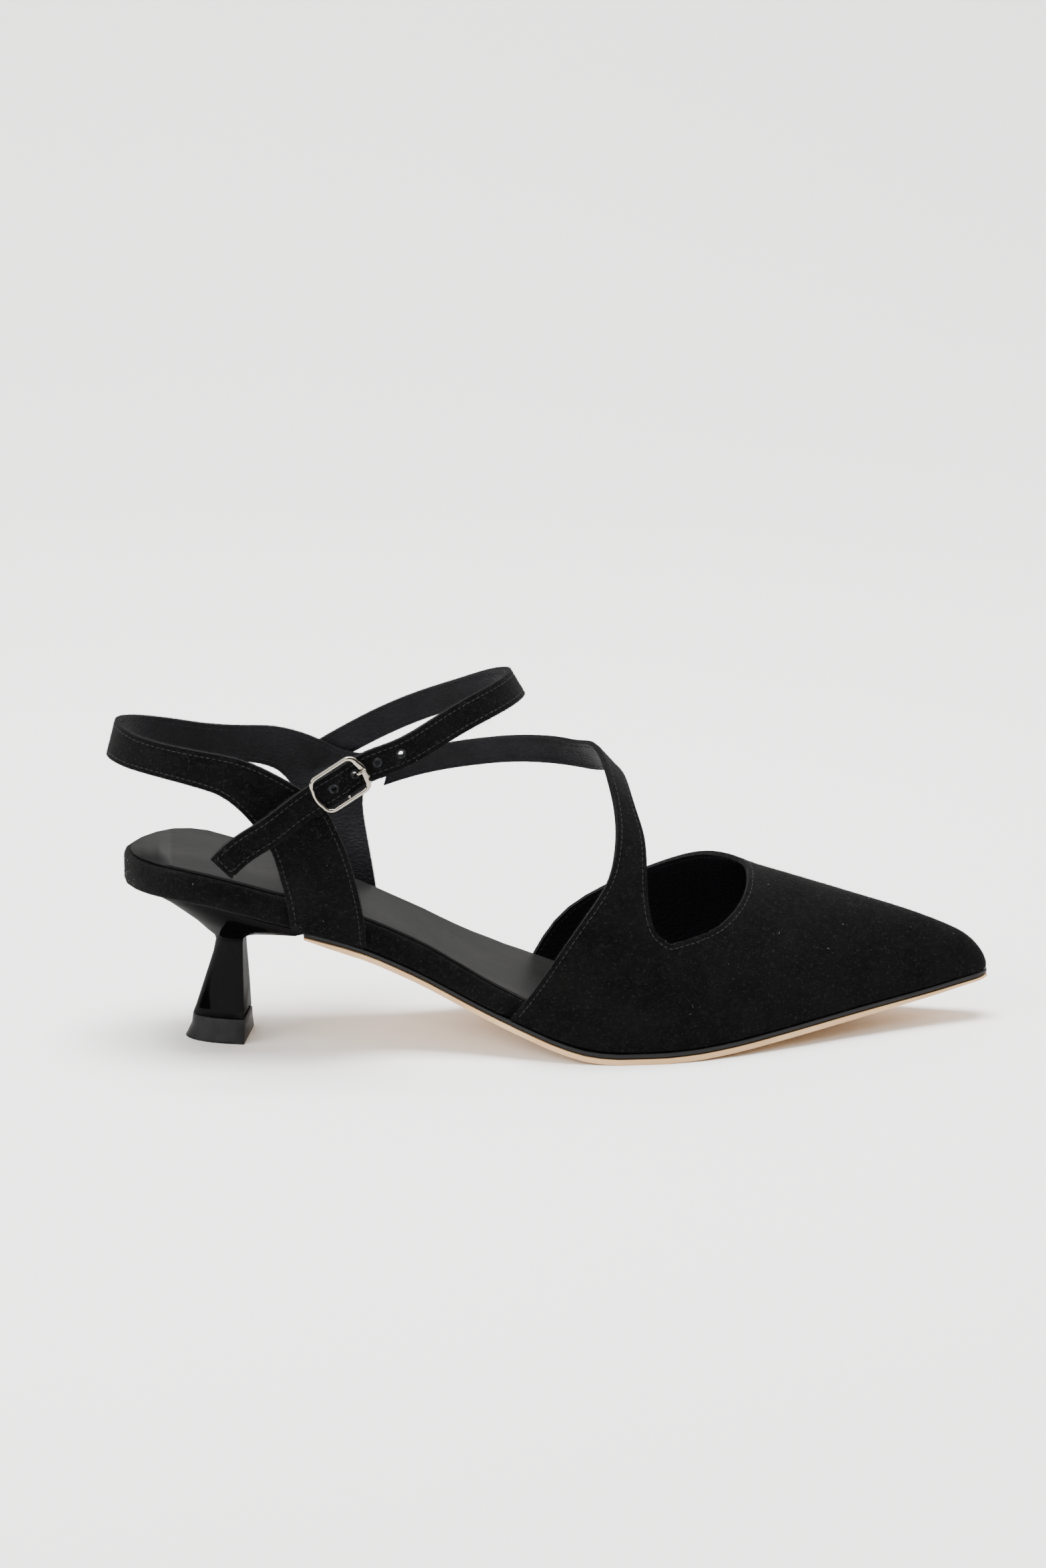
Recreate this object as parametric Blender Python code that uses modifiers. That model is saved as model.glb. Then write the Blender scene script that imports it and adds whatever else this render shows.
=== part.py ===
"""A pointed slingback shoe for the right foot, on a low curved heel.

The heel tip's middle is the origin, +X runs to the toe, +Z is up and the outer side of the foot is -Y.
"""
import math

import bmesh
import bpy
import numpy as np
from mathutils import Matrix, Vector

MM = 0.001

# Whole shoe
SHOE_LENGTH = 262 * MM
HEEL_SETBACK = 27.5 * MM
BALL_WIDTH = 75.6 * MM
SEAT_HEIGHT = 49.3 * MM
TOE_SPRING = 12.0 * MM
INSTEP_HEIGHT = 90 * MM
COLLAR_HEIGHT = 100 * MM
COLLAR_REACH = 125 * MM
COLLAR_SPAN = 64 * MM
GAP = 0.3 * MM

# Bottom
OUTSOLE_THICKNESS = 1.6 * MM
RAND_THICKNESS = 1.3 * MM
SOLE_EDGE = 0.7 * MM
RAND_EDGE = 0.2 * MM
SKIVE_LENGTH = 10 * MM
SKIVED_SHARE = 0.4
TOE_SKIVE_LENGTH = 45 * MM
TOE_SKIVED_SHARE = 0.35
FOOTBED_THICKNESS = 8.8 * MM
FOOTBED_ROUNDING = 0.7 * MM
SOCK_THICKNESS = 0.8 * MM
SOCK_INSET = 2.0 * MM
SOCK_REACH = 225 * MM
SOCK_TUCK = 0.6
WALL_MARGIN = 1.15
HEEL_ROUND = 25 * MM
TOE_ROUND = 5 * MM
TOE_DOME = 9 * MM

# Heel
BREAST_REACH = 25 * MM
WAIST_HEIGHT = 31 * MM
TIP_HEIGHT = 7 * MM
TIP_WIDTH = 20 * MM
HEEL_TURN = math.radians(9.6)
SEAT_INSET = 0.5 * MM
SEAT_FLARE = 0.34
HEEL_BACK_CURVE = 0.85
HEEL_SIDE_CURVE = 0.9
TWIST_START = 0.6

# Upper
WALL = 1.5 * MM
SLING_WALL = 1.5 * MM
STRAP_WIDTH = 8.5 * MM
STRAP_THICKNESS = 1.6 * MM
HOLE_DIAMETER = 2.2 * MM
HOLE_PITCH = 7.4 * MM
HOLES = 4
LOW_CLEARANCE = 4 * MM
EAR_CLEARANCE = 12 * MM

# Buckle
BUCKLE_LENGTH = 17.6 * MM
BUCKLE_WIDTH = 12.4 * MM
BUCKLE_WIRE = 1.2 * MM
BUCKLE_FACE = 2.2 * MM
BUCKLE_BOW = 0.6 * MM
BUCKLE_CORNER = 2.6 * MM
BUCKLE_RISE = 4.0 * MM
BAR_WIRE = 1.0 * MM
PRONG_WIRE = 1.1 * MM
TAB_WALL = 0.7 * MM
TAB_WIDTH = 7.0 * MM
TAB_LENGTH = 15 * MM
TAB_SLOT = 2.0 * MM
SLOT_REACH = 9 * MM
PRONG_REACH = 5.4 * MM

# How finely the surfaces are cut
BED_GRID = 52
END_STEPS = 6
LAST_SEARCH = 24
VAMP_REAR_STEPS = 6
VAMP_FRONT_STEPS = 21
WING_STEPS = 4
THROAT_STEPS = 19
CROSS_STEPS = 27
SLING_ACROSS = 4
STRAP_ACROSS = 3
STRAP_SPACING = 3.2 * MM
PUNCH_SIDES = 16
WIRE_SIDES = 8
CORNER_STEPS = 5
RAIL_STEPS = 4
HEEL_BACK_STEPS = 20
HEEL_FRONT_STEPS = 6
CLOSE = 0.02 * MM
SIDE_ROLL = 0.35
FEATHER = OUTSOLE_THICKNESS + RAND_THICKNESS + 2 * GAP

# Bottom line: lengths along the shoe, the rise of the seat, the toe spring, half widths, board thickness
BED_COLUMNS = ("along", "rise", "spring", "centre", "half", "thick")
BED_ROWS = (
    (0.000, 1.000, 0.000, 0.000, 0.317, 1.00),
    (0.048, 0.998, 0.000, 0.000, 0.344, 1.00),
    (0.086, 0.972, 0.000, 0.000, 0.351, 1.00),
    (0.124, 0.911, 0.000, 0.003, 0.347, 1.00),
    (0.162, 0.841, 0.000, 0.007, 0.337, 1.00),
    (0.219, 0.739, 0.000, 0.008, 0.310, 0.98),
    (0.269, 0.636, 0.000, 0.009, 0.288, 0.96),
    (0.311, 0.527, 0.000, 0.003, 0.280, 0.97),
    (0.344, 0.436, 0.000, -0.003, 0.288, 0.97),
    (0.376, 0.342, 0.000, -0.011, 0.307, 0.93),
    (0.410, 0.250, 0.000, -0.017, 0.341, 0.87),
    (0.460, 0.130, 0.000, -0.020, 0.403, 0.80),
    (0.498, 0.052, 0.000, -0.020, 0.450, 0.66),
    (0.530, 0.010, 0.000, -0.015, 0.480, 0.50),
    (0.560, 0.000, 0.000, -0.011, 0.497, 0.44),
    (0.602, 0.000, 0.000, -0.006, 0.497, 0.40),
    (0.639, 0.000, 0.020, 0.000, 0.483, 0.39),
    (0.685, 0.000, 0.090, 0.012, 0.446, 0.37),
    (0.746, 0.000, 0.235, 0.024, 0.368, 0.36),
    (0.838, 0.000, 0.475, 0.045, 0.239, 0.36),
    (0.933, 0.000, 0.740, 0.063, 0.119, 0.36),
    (0.975, 0.000, 0.900, 0.070, 0.074, 0.36),
    (1.000, 0.000, 1.000, 0.073, 0.053, 0.36),
)

# Last: the ridge's height and place across, and how far each side bulges, as shares of the sizes above
LAST_COLUMNS = ("along", "ridge", "ridge_out", "outer", "inner")
LAST_ROWS = (
    (0.230, 1.960, 0.030, 0.400, 0.430),
    (0.280, 1.760, 0.030, 0.420, 0.425),
    (0.330, 1.600, 0.030, 0.435, 0.395),
    (0.375, 1.450, 0.030, 0.450, 0.375),
    (0.410, 1.330, 0.030, 0.465, 0.372),
    (0.456, 1.200, 0.030, 0.483, 0.385),
    (0.500, 1.085, 0.030, 0.505, 0.420),
    (0.540, 0.985, 0.030, 0.516, 0.455),
    (0.578, 0.867, 0.030, 0.518, 0.485),
    (0.616, 0.767, 0.030, 0.505, 0.492),
    (0.660, 0.666, 0.030, 0.475, 0.485),
    (0.716, 0.561, 0.030, 0.400, 0.440),
    (0.760, 0.518, 0.040, 0.332, 0.385),
    (0.830, 0.452, 0.050, 0.210, 0.295),
    (0.910, 0.373, 0.065, 0.085, 0.205),
    (0.950, 0.325, 0.070, 0.030, 0.165),
    (0.970, 0.297, 0.072, -0.002, 0.150),
    (1.000, 0.262, 0.073, -0.025, 0.130),
)

# Vamp edges by turn round the last: 0 at the outer side's bottom, 90 on the ridge, 180 at the inner side
STRAP_ROOT = 29
VAMP_REAR_COLUMNS = ("turn", "along")
VAMP_REAR_ROWS = ((0, 0.437), (5, 0.456), (14, 0.482), (24, 0.512), (29, 0.527))
THROAT_COLUMNS = ("turn", "along")
THROAT_ROWS = (
    (29, 0.618), (32, 0.643), (37, 0.667), (46, 0.690), (57, 0.707), (72, 0.716), (86, 0.717),
    (100, 0.710), (114, 0.689), (130, 0.656), (142, 0.622), (156, 0.563), (161, 0.531),
    (167, 0.503), (174, 0.481), (180, 0.465),
)

# Crossing strap: its rear and front edges over the last, from the outer vamp to the inner side
CROSS_COLUMNS = ("step", "rear", "rear_turn", "front", "front_turn")
CROSS_ROWS = (
    (0, 0.527, 29.0, 0.618, 29.0),
    (1, 0.541, 34.4, 0.600, 30.5),
    (2, 0.549, 38.5, 0.594, 36.0),
    (3, 0.555, 43.5, 0.592, 43.0),
    (4, 0.559, 49.5, 0.593, 49.5),
    (5, 0.561, 56.0, 0.593, 56.0),
    (6, 0.560, 63.5, 0.590, 62.5),
    (7, 0.556, 71.0, 0.584, 68.5),
    (8, 0.552, 80.0, 0.579, 77.0),
    (9, 0.546, 91.0, 0.575, 88.0),
    (10, 0.537, 102.0, 0.570, 100.0),
    (11, 0.525, 111.0, 0.560, 111.0),
    (12, 0.509, 115.3, 0.545, 119.0),
    (13, 0.481, 122.5, 0.510, 126.0),
    (14, 0.444, 130.7, 0.466, 133.7),
    (15, 0.407, 138.3, 0.421, 141.5),
    (16, 0.370, 145.5, 0.377, 149.2),
    (17, 0.335, 152.0, 0.336, 155.8),
    (18, 0.312, 155.5, 0.303, 160.7),
)

# Sling: upper or front edge and lower or rear edge, from the outer quarter round the back to the inner one
SLING_COLUMNS = ("step", "top_x", "top_y", "top_z", "low_x", "low_y", "low_z")
SLING_ROWS = (
    (0, 0.352, -0.360, 0.330, 0.176, -0.400, 0.400),
    (1, 0.346, -0.400, 0.430, 0.168, -0.422, 0.480),
    (2, 0.329, -0.440, 0.538, 0.152, -0.460, 0.560),
    (3, 0.309, -0.473, 0.635, 0.133, -0.478, 0.650),
    (4, 0.284, -0.486, 0.715, 0.100, -0.484, 0.718),
    (5, 0.254, -0.489, 0.790, 0.064, -0.478, 0.773),
    (6, 0.206, -0.486, 0.838, 0.032, -0.466, 0.808),
    (7, 0.128, -0.474, 0.896, 0.000, -0.447, 0.830),
    (8, 0.048, -0.447, 0.936, -0.048, -0.416, 0.846),
    (9, -0.048, -0.394, 0.952, -0.112, -0.350, 0.859),
    (10, -0.136, -0.309, 0.964, -0.172, -0.266, 0.867),
    (11, -0.196, -0.211, 0.976, -0.218, -0.180, 0.873),
    (12, -0.229, -0.094, 0.988, -0.250, -0.086, 0.881),
    (13, -0.237, 0.000, 0.990, -0.259, 0.000, 0.883),
    (14, -0.221, 0.102, 0.984, -0.245, 0.094, 0.878),
    (15, -0.176, 0.234, 0.963, -0.204, 0.216, 0.862),
    (16, -0.096, 0.333, 0.934, -0.128, 0.312, 0.836),
    (17, -0.024, 0.391, 0.909, -0.056, 0.383, 0.810),
    (18, 0.064, 0.442, 0.892, 0.032, 0.431, 0.786),
    (19, 0.144, 0.466, 0.886, 0.096, 0.453, 0.776),
    (20, 0.240, 0.473, 0.850, 0.148, 0.461, 0.755),
    (21, 0.312, 0.489, 0.795, 0.172, 0.461, 0.728),
    (22, 0.400, 0.480, 0.785, 0.188, 0.459, 0.705),
    (23, 0.484, 0.462, 0.790, 0.200, 0.456, 0.680),
    (24, 0.464, 0.470, 0.735, 0.208, 0.453, 0.656),
    (25, 0.376, 0.475, 0.700, 0.214, 0.447, 0.625),
    (26, 0.358, 0.447, 0.635, 0.218, 0.438, 0.575),
    (27, 0.374, 0.412, 0.510, 0.216, 0.419, 0.490),
    (28, 0.389, 0.381, 0.400, 0.213, 0.400, 0.430),
    (29, 0.397, 0.362, 0.305, 0.211, 0.389, 0.388),
)

# Ankle strap: its middle line from the inner quarter round the front to the tail, and how far it leans back
ANKLE_COLUMNS = ("x", "y", "z", "lean")
ANKLE_ROWS = (
    (0.176, 0.519, 0.715, 0),
    (0.270, 0.530, 0.788, 0),
    (0.353, 0.537, 0.845, 3),
    (0.435, 0.503, 0.901, 8),
    (0.517, 0.428, 0.954, 15),
    (0.597, 0.316, 1.005, 22),
    (0.676, 0.210, 1.053, 28),
    (0.722, 0.000, 1.085, 30),
    (0.669, -0.230, 1.072, 26),
    (0.584, -0.344, 1.035, 18),
    (0.502, -0.445, 0.990, 10),
    (0.420, -0.516, 0.948, 4),
    (0.345, -0.540, 0.917, 0),
    (0.291, -0.567, 0.874, 0),
    (0.238, -0.542, 0.830, 0),
    (0.186, -0.553, 0.790, 0),
    (0.120, -0.578, 0.730, 0),
    (0.058, -0.578, 0.681, 0),
    (0.010, -0.578, 0.625, 0),
)
BUCKLE_ROW = 13

# Heel rings from the tip's foot to the seat: how high, back, front and half width
HEEL_COLUMNS = ("level", "back", "front", "half")
HEEL_SHANK_ROWS = (
    (0.226, -0.298, 0.362, 0.380),
    (0.300, -0.262, 0.360, 0.366),
    (0.480, -0.190, 0.354, 0.335),
    (0.660, -0.118, 0.345, 0.312),
    (0.840, -0.046, 0.335, 0.302),
    (0.975, -0.012, 0.332, 0.312),
)
HEEL_SEAT_ROWS = (
    (0.060, -0.030, 0.335, 0.258),
    (0.120, -0.075, 0.340, 0.300),
    (0.190, -0.125, 0.360, 0.365),
    (0.280, -0.185, 0.400, 0.455),
    (0.400, -0.270, 0.480, 0.590),
    (0.550, -0.420, 0.670, 0.750),
    (0.720, -0.610, 0.930, 0.890),
    (0.880, -0.850, 0.990, 0.975),
    (1.000, -1.080, 1.000, 1.000),
)
TIP_COLUMNS = ("level", "back", "front", "half")
TIP_ROWS = (
    (0.00, -0.495, 0.470, 0.500),
    (0.12, -0.470, 0.470, 0.475),
    (0.55, -0.400, 0.468, 0.405),
    (1.00, -0.380, 0.466, 0.370),
)


def read(columns, rows, name, at):
    """A smooth value of one named column that never overshoots its rows."""
    column = columns.index(name)
    places = [row[0] for row in rows]
    values = [row[column] for row in rows]
    at = min(max(at, places[0]), places[-1])
    k = max(j for j in range(len(places) - 1) if places[j] <= at)
    steps = [(values[j + 1] - values[j]) / (places[j + 1] - places[j]) for j in range(len(rows) - 1)]

    def slope(j):
        if j == 0 or j == len(rows) - 1:
            return steps[min(j, len(steps) - 1)]
        if steps[j - 1] * steps[j] <= 0:
            return 0.0
        return 2 * steps[j - 1] * steps[j] / (steps[j - 1] + steps[j])

    span = places[k + 1] - places[k]
    t = (at - places[k]) / span
    rise = (3 - 2 * t) * t * t
    return (values[k] + (values[k + 1] - values[k]) * rise
            + span * (slope(k) * t * (1 - t) ** 2 - slope(k + 1) * t * t * (1 - t)))


def named(columns, rows):
    """The rows of a table, with each value under its column's name."""
    return [dict(zip(columns, row)) for row in rows]


def spline(points, spacing):
    """A smooth line through the points, with samples at an even spacing."""
    points = np.array(points)
    chords = np.linalg.norm(np.diff(points[:, :3], axis=0), axis=1)
    knots = np.concatenate(([0.0], np.cumsum(chords)))
    count = len(points)
    system = np.eye(count)
    right = np.zeros_like(points)
    for i in range(1, count - 1):
        before, after = chords[i - 1], chords[i]
        system[i, i - 1:i + 2] = (before, 2 * (before + after), after)
        right[i] = 6 * ((points[i + 1] - points[i]) / after - (points[i] - points[i - 1]) / before)
    bends = np.linalg.solve(system, right)
    samples = []
    for at in np.linspace(0, knots[-1], int(round(knots[-1] / spacing)) + 1):
        k = min(int(np.searchsorted(knots, at, side="right")) - 1, count - 2)
        span = chords[k]
        a = (knots[k + 1] - at) / span
        b = (at - knots[k]) / span
        samples.append(a * points[k] + b * points[k + 1]
                       + ((a ** 3 - a) * bends[k] + (b ** 3 - b) * bends[k + 1]) * span ** 2 / 6)
    return np.array(samples), knots


def bed(name, along):
    return read(BED_COLUMNS, BED_ROWS, name, along)


def along_at(x):
    return (x + HEEL_SETBACK) / SHOE_LENGTH


def x_at(along):
    return along * SHOE_LENGTH - HEEL_SETBACK


def cap(distance, radius):
    """The share of full width left at a distance from a rounded end."""
    share = min(max(distance / radius, 0.0), 1.0)
    return math.sqrt(1 - (1 - share) ** 2)


def feather_height(along):
    """Height of the line where the upper and the footbed meet the rand."""
    return FEATHER + bed("rise", along) * (SEAT_HEIGHT - FEATHER) + bed("spring", along) * TOE_SPRING


def edge(along, side, inset=0.0):
    """Place across of the outline's edge, moved in by the inset."""
    half = bed("half", along) * BALL_WIDTH - inset
    half *= cap(along * SHOE_LENGTH - inset, HEEL_ROUND) * cap((1 - along) * SHOE_LENGTH - inset, TOE_ROUND)
    return bed("centre", along) * BALL_WIDTH + side * half


def footbed_top(along):
    return feather_height(along) + bed("thick", along) * FOOTBED_THICKNESS


def last_point(along, turn):
    """A point of the last's surface, which is the outside of the upper."""
    angle = math.radians(turn)
    side = -1 if turn < 90 else 1
    out, up = abs(math.cos(angle)), math.sin(angle)
    centre = bed("centre", along) * BALL_WIDTH
    bulge = read(LAST_COLUMNS, LAST_ROWS, "outer" if side < 0 else "inner", along)
    toe = (1 - along) * SHOE_LENGTH
    wide = centre + (side * bulge * BALL_WIDTH - centre) * cap(toe, TOE_ROUND)
    blend = min(up / SIDE_ROLL, 1.0)
    foot = edge(along, side)
    reach = foot + (wide - foot) * blend * blend * (3 - 2 * blend)
    ridge_out = read(LAST_COLUMNS, LAST_ROWS, "ridge_out", along) * BALL_WIDTH
    low = feather_height(along)
    rise = read(LAST_COLUMNS, LAST_ROWS, "ridge", along) * INSTEP_HEIGHT - low
    return Vector((x_at(along), ridge_out + (reach - ridge_out) * out, low + rise * cap(toe, TOE_DOME) * up))


def last_side(x, z, side):
    """Place across of the last's side at a height."""
    turns = (0.0, 90.0) if side < 0 else (180.0, 90.0)
    low, high = turns
    for _ in range(LAST_SEARCH):
        middle = (low + high) / 2
        if last_point(along_at(x), middle).z < z:
            low = middle
        else:
            high = middle
    return last_point(along_at(x), low).y


def collection(name):
    made = bpy.data.collections.new(name)
    bpy.context.scene.collection.children.link(made)
    return made


def material(name, colour, roughness, metallic=0.0):
    made = bpy.data.materials.new(name)
    made.use_nodes = True
    shader = made.node_tree.nodes["Principled BSDF"]
    shader.inputs["Base Color"].default_value = (*colour, 1.0)
    shader.inputs["Roughness"].default_value = roughness
    shader.inputs["Metallic"].default_value = metallic
    return made


def mesh_object(name, points, faces, looks, home):
    mesh = bpy.data.meshes.new(name)
    mesh.from_pydata([tuple(point) for point in points], [], faces)
    tidy = bmesh.new()
    tidy.from_mesh(mesh)
    bmesh.ops.remove_doubles(tidy, verts=tidy.verts, dist=0.01 * MM)
    bmesh.ops.recalc_face_normals(tidy, faces=tidy.faces)
    tidy.to_mesh(mesh)
    tidy.free()
    mesh.shade_smooth()
    mesh.set_sharp_from_angle(angle=math.radians(40))
    made = bpy.data.objects.new(name, mesh)
    home.objects.link(made)
    if looks:
        mesh.materials.append(looks)
    return made


def loft(name, rings, looks, home, closed=False):
    """A closed solid through rings of the same number of points."""
    count = len(rings[0])
    points = [point for ring in rings for point in ring]
    faces = []
    spans = len(rings) if closed else len(rings) - 1
    for i in range(spans):
        here = i * count
        after = (i + 1) % len(rings) * count
        for j in range(count):
            k = (j + 1) % count
            faces.append((here + j, here + k, after + k, after + j))
    if not closed:
        faces.append(tuple(range(count)))
        faces.append(tuple(range(len(points) - 1, len(points) - 1 - count, -1)))
    return mesh_object(name, points, faces, looks, home)


def sheet(name, rows, thickness, looks, home, outward):
    """A leather sheet: an open surface with its thickness on the inner side."""
    count = len(rows[0])
    points = [point for row in rows for point in row]
    faces = []
    for i in range(len(rows) - 1):
        for j in range(count - 1):
            a = i * count + j
            faces.append((a, a + 1, a + count + 1, a + count))
    return thicken(mesh_object(name, points, faces, looks, home), thickness, outward)


def thicken(made, thickness, outward):
    """Solidify inwards, once the faces look outwards as the given rule says."""
    tidy = bmesh.new()
    tidy.from_mesh(made.data)
    tidy.faces.ensure_lookup_table()
    votes = sum(face.normal.dot(outward(face.calc_center_median())) * face.calc_area() for face in tidy.faces)
    if votes < 0:
        bmesh.ops.reverse_faces(tidy, faces=tidy.faces)
    tidy.to_mesh(made.data)
    tidy.free()
    solid = made.modifiers.new("wall", "SOLIDIFY")
    solid.thickness = thickness
    solid.offset = -1
    solid.use_quality_normals = True
    return made


def cut(made, cutter, operation="DIFFERENCE"):
    joint = made.modifiers.new(cutter.name, "BOOLEAN")
    joint.operation = operation
    joint.object = cutter
    cutter.hide_render = True
    cutter.display_type = "WIRE"


def put_away(name, tools):
    """Name the object just added and keep it with the cutters alone."""
    made = bpy.context.object
    made.name = name
    for owner in list(made.users_collection):
        owner.objects.unlink(made)
    tools.objects.link(made)
    return made


def plate_ring(along, inset, bottom, top):
    """A cross section of a flat layer of the bottom."""
    outer, inner = edge(along, -1, inset), edge(along, 1, inset)
    middle = (outer + inner) / 2
    x = x_at(along)
    return [Vector((x, y, bottom)) for y in (outer, middle, inner)] + [
        Vector((x, y, top)) for y in (inner, middle, outer)]


def stations(start, stop, inset=0.0):
    """Shared lengths along the shoe, with more of them where the outline closes at a rounded end."""
    closed = CLOSE + inset
    first = max(start, closed / SHOE_LENGTH)
    last = min(stop, 1 - closed / SHOE_LENGTH)
    places = [first, last]
    places += [k / BED_GRID for k in range(1, BED_GRID)]
    for k in range(1, END_STEPS):
        share = 1 - math.cos(math.pi * k / (2 * END_STEPS))
        places.append((closed + share * HEEL_ROUND) / SHOE_LENGTH)
        places.append(1 - (closed + share * TOE_ROUND) / SHOE_LENGTH)
    places = sorted(place for place in places if first <= place <= last)
    return [place for k, place in enumerate(places) if k == 0 or (place - places[k - 1]) * SHOE_LENGTH > GAP / 3]


def make_outsole(looks, home):
    """The sole, thinned where it meets the heel's breast and towards the toe."""
    start = along_at(BREAST_REACH + 2 * GAP)
    rings = []
    for along in stations(start, 1.0, -SOLE_EDGE):
        top = feather_height(along) - RAND_THICKNESS - 2 * GAP
        skive = min(SKIVED_SHARE + (1 - SKIVED_SHARE) * (along - start) * SHOE_LENGTH / SKIVE_LENGTH,
                    TOE_SKIVED_SHARE + (1 - TOE_SKIVED_SHARE) * (1 - along) * SHOE_LENGTH / TOE_SKIVE_LENGTH, 1.0)
        rings.append(plate_ring(along, -SOLE_EDGE, top - skive * OUTSOLE_THICKNESS, top))
    return loft("outsole", rings, looks, home)


def make_rand(looks, home):
    start = along_at(BREAST_REACH + 2 * GAP)
    rings = []
    for along in stations(start, 1.0, -RAND_EDGE):
        top = feather_height(along) - GAP
        rings.append(plate_ring(along, -RAND_EDGE, top - RAND_THICKNESS, top))
    return loft("rand", rings, looks, home)


def inside_vamp(along):
    """The board is covered at the back and waist, and lies inside the vamp further on."""
    start, full = VAMP_REAR_ROWS[0][1] - 0.010, VAMP_REAR_ROWS[0][1] - 0.004
    return min(max((along - start) / (full - start), 0.0), 1.0)


def footbed_edge(along, side, z):
    """Place across of the footbed's edge at a height, held inside the vamp's wall."""
    inset = inside_vamp(along) * (WALL + 2 * GAP)
    bare = edge(along, side, inset)
    if inset == 0:
        return bare
    wall = last_side(x_at(along), z + GAP, side) - side * inset * WALL_MARGIN
    return min(bare, wall) if side > 0 else max(bare, wall)


def make_footbed(looks, home):
    rings = []
    for along in stations(0.0, 1 - 4 * WALL / SHOE_LENGTH):
        x, bottom, top = x_at(along), feather_height(along), footbed_top(along)
        ring = [Vector((x, footbed_edge(along, side, bottom), bottom)) for side in (-1, 1)]
        ring += [Vector((x, footbed_edge(along, side, top), top)) for side in (1, -1)]
        rings.append(ring)
    made = loft("footbed", rings, looks, home)
    rounding = made.modifiers.new("rounding", "BEVEL")
    rounding.width = FOOTBED_ROUNDING
    rounding.segments = 1
    rounding.limit_method = "ANGLE"
    rounding.angle_limit = math.radians(60)
    return made


def make_sock(looks, home):
    rings = []
    for along in stations(0.0, SOCK_REACH / SHOE_LENGTH, SOCK_INSET):
        x, low = x_at(along), footbed_top(along) + GAP
        high = low + SOCK_THICKNESS
        inset = SOCK_INSET * (1 - SOCK_TUCK * inside_vamp(along))
        ends = []
        for side in (-1, 1):
            cover = footbed_edge(along, side, footbed_top(along)) - side * inset
            ends.append(cover if along * SHOE_LENGTH > HEEL_ROUND else edge(along, side, inset))
        rings.append([Vector((x, ends[0], low)), Vector((x, ends[1], low)),
                      Vector((x, ends[1], high)), Vector((x, ends[0], high))])
    return loft("sock", rings, looks, home)


def heel_ring(back, front, place):
    """A ring with a round back and a flat front; place puts a length and a share of the half width in space."""
    ring = []
    for k in range(HEEL_BACK_STEPS + 1):
        angle = math.pi * (k / HEEL_BACK_STEPS - 0.5)
        x = front - (front - back) * abs(math.cos(angle)) ** HEEL_BACK_CURVE
        ring.append(place(x, math.copysign(abs(math.sin(angle)) ** HEEL_SIDE_CURVE, angle)))
    for k in range(1, HEEL_FRONT_STEPS):
        ring.append(place(front, 1 - 2 * k / HEEL_FRONT_STEPS))
    return ring


def turned(x, y, z, turn):
    return Vector((x * math.cos(turn) + y * math.sin(turn), y * math.cos(turn) - x * math.sin(turn), z))


def seat_point(x, share, level, half):
    """A point of the heel's flaring top: from the waist's width to the seat's own outline."""
    along = along_at(x)
    seat_half = abs(edge(max(along, 0.0), 1 if share > 0 else -1, SEAT_INSET))
    narrow = half * BALL_WIDTH * SEAT_FLARE * share
    wide = half * seat_half * share
    z = WAIST_HEIGHT + level * (feather_height(along) - GAP - WAIST_HEIGHT)
    return turned(x, narrow + (wide - narrow) * level ** 2, z, HEEL_TURN * TWIST_START * (1 - level) ** 2)


def make_heel(looks, home):
    rings = []
    for row in named(HEEL_COLUMNS, HEEL_SHANK_ROWS):
        z = row["level"] * WAIST_HEIGHT + GAP
        turn = HEEL_TURN * (1 - max(row["level"] - TWIST_START, 0.0))
        half = row["half"] * TIP_WIDTH
        rings.append(heel_ring(row["back"] * BREAST_REACH, row["front"] * BREAST_REACH,
                               lambda x, share: turned(x, half * share, z, turn)))
    for row in named(HEEL_COLUMNS, HEEL_SEAT_ROWS):
        rings.append(heel_ring(row["back"] * BREAST_REACH, row["front"] * BREAST_REACH,
                               lambda x, share: seat_point(x, share, row["level"], row["half"])))
    return loft("heel", rings, looks, home)


def make_heel_tip(looks, home):
    rings = []
    for row in named(TIP_COLUMNS, TIP_ROWS):
        z = row["level"] * TIP_HEIGHT
        half = row["half"] * TIP_WIDTH
        rings.append(heel_ring(row["back"] * TIP_WIDTH, row["front"] * TIP_WIDTH,
                               lambda x, share: turned(x, half * share, z, HEEL_TURN)))
    return loft("heel_tip", rings, looks, home)


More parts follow.
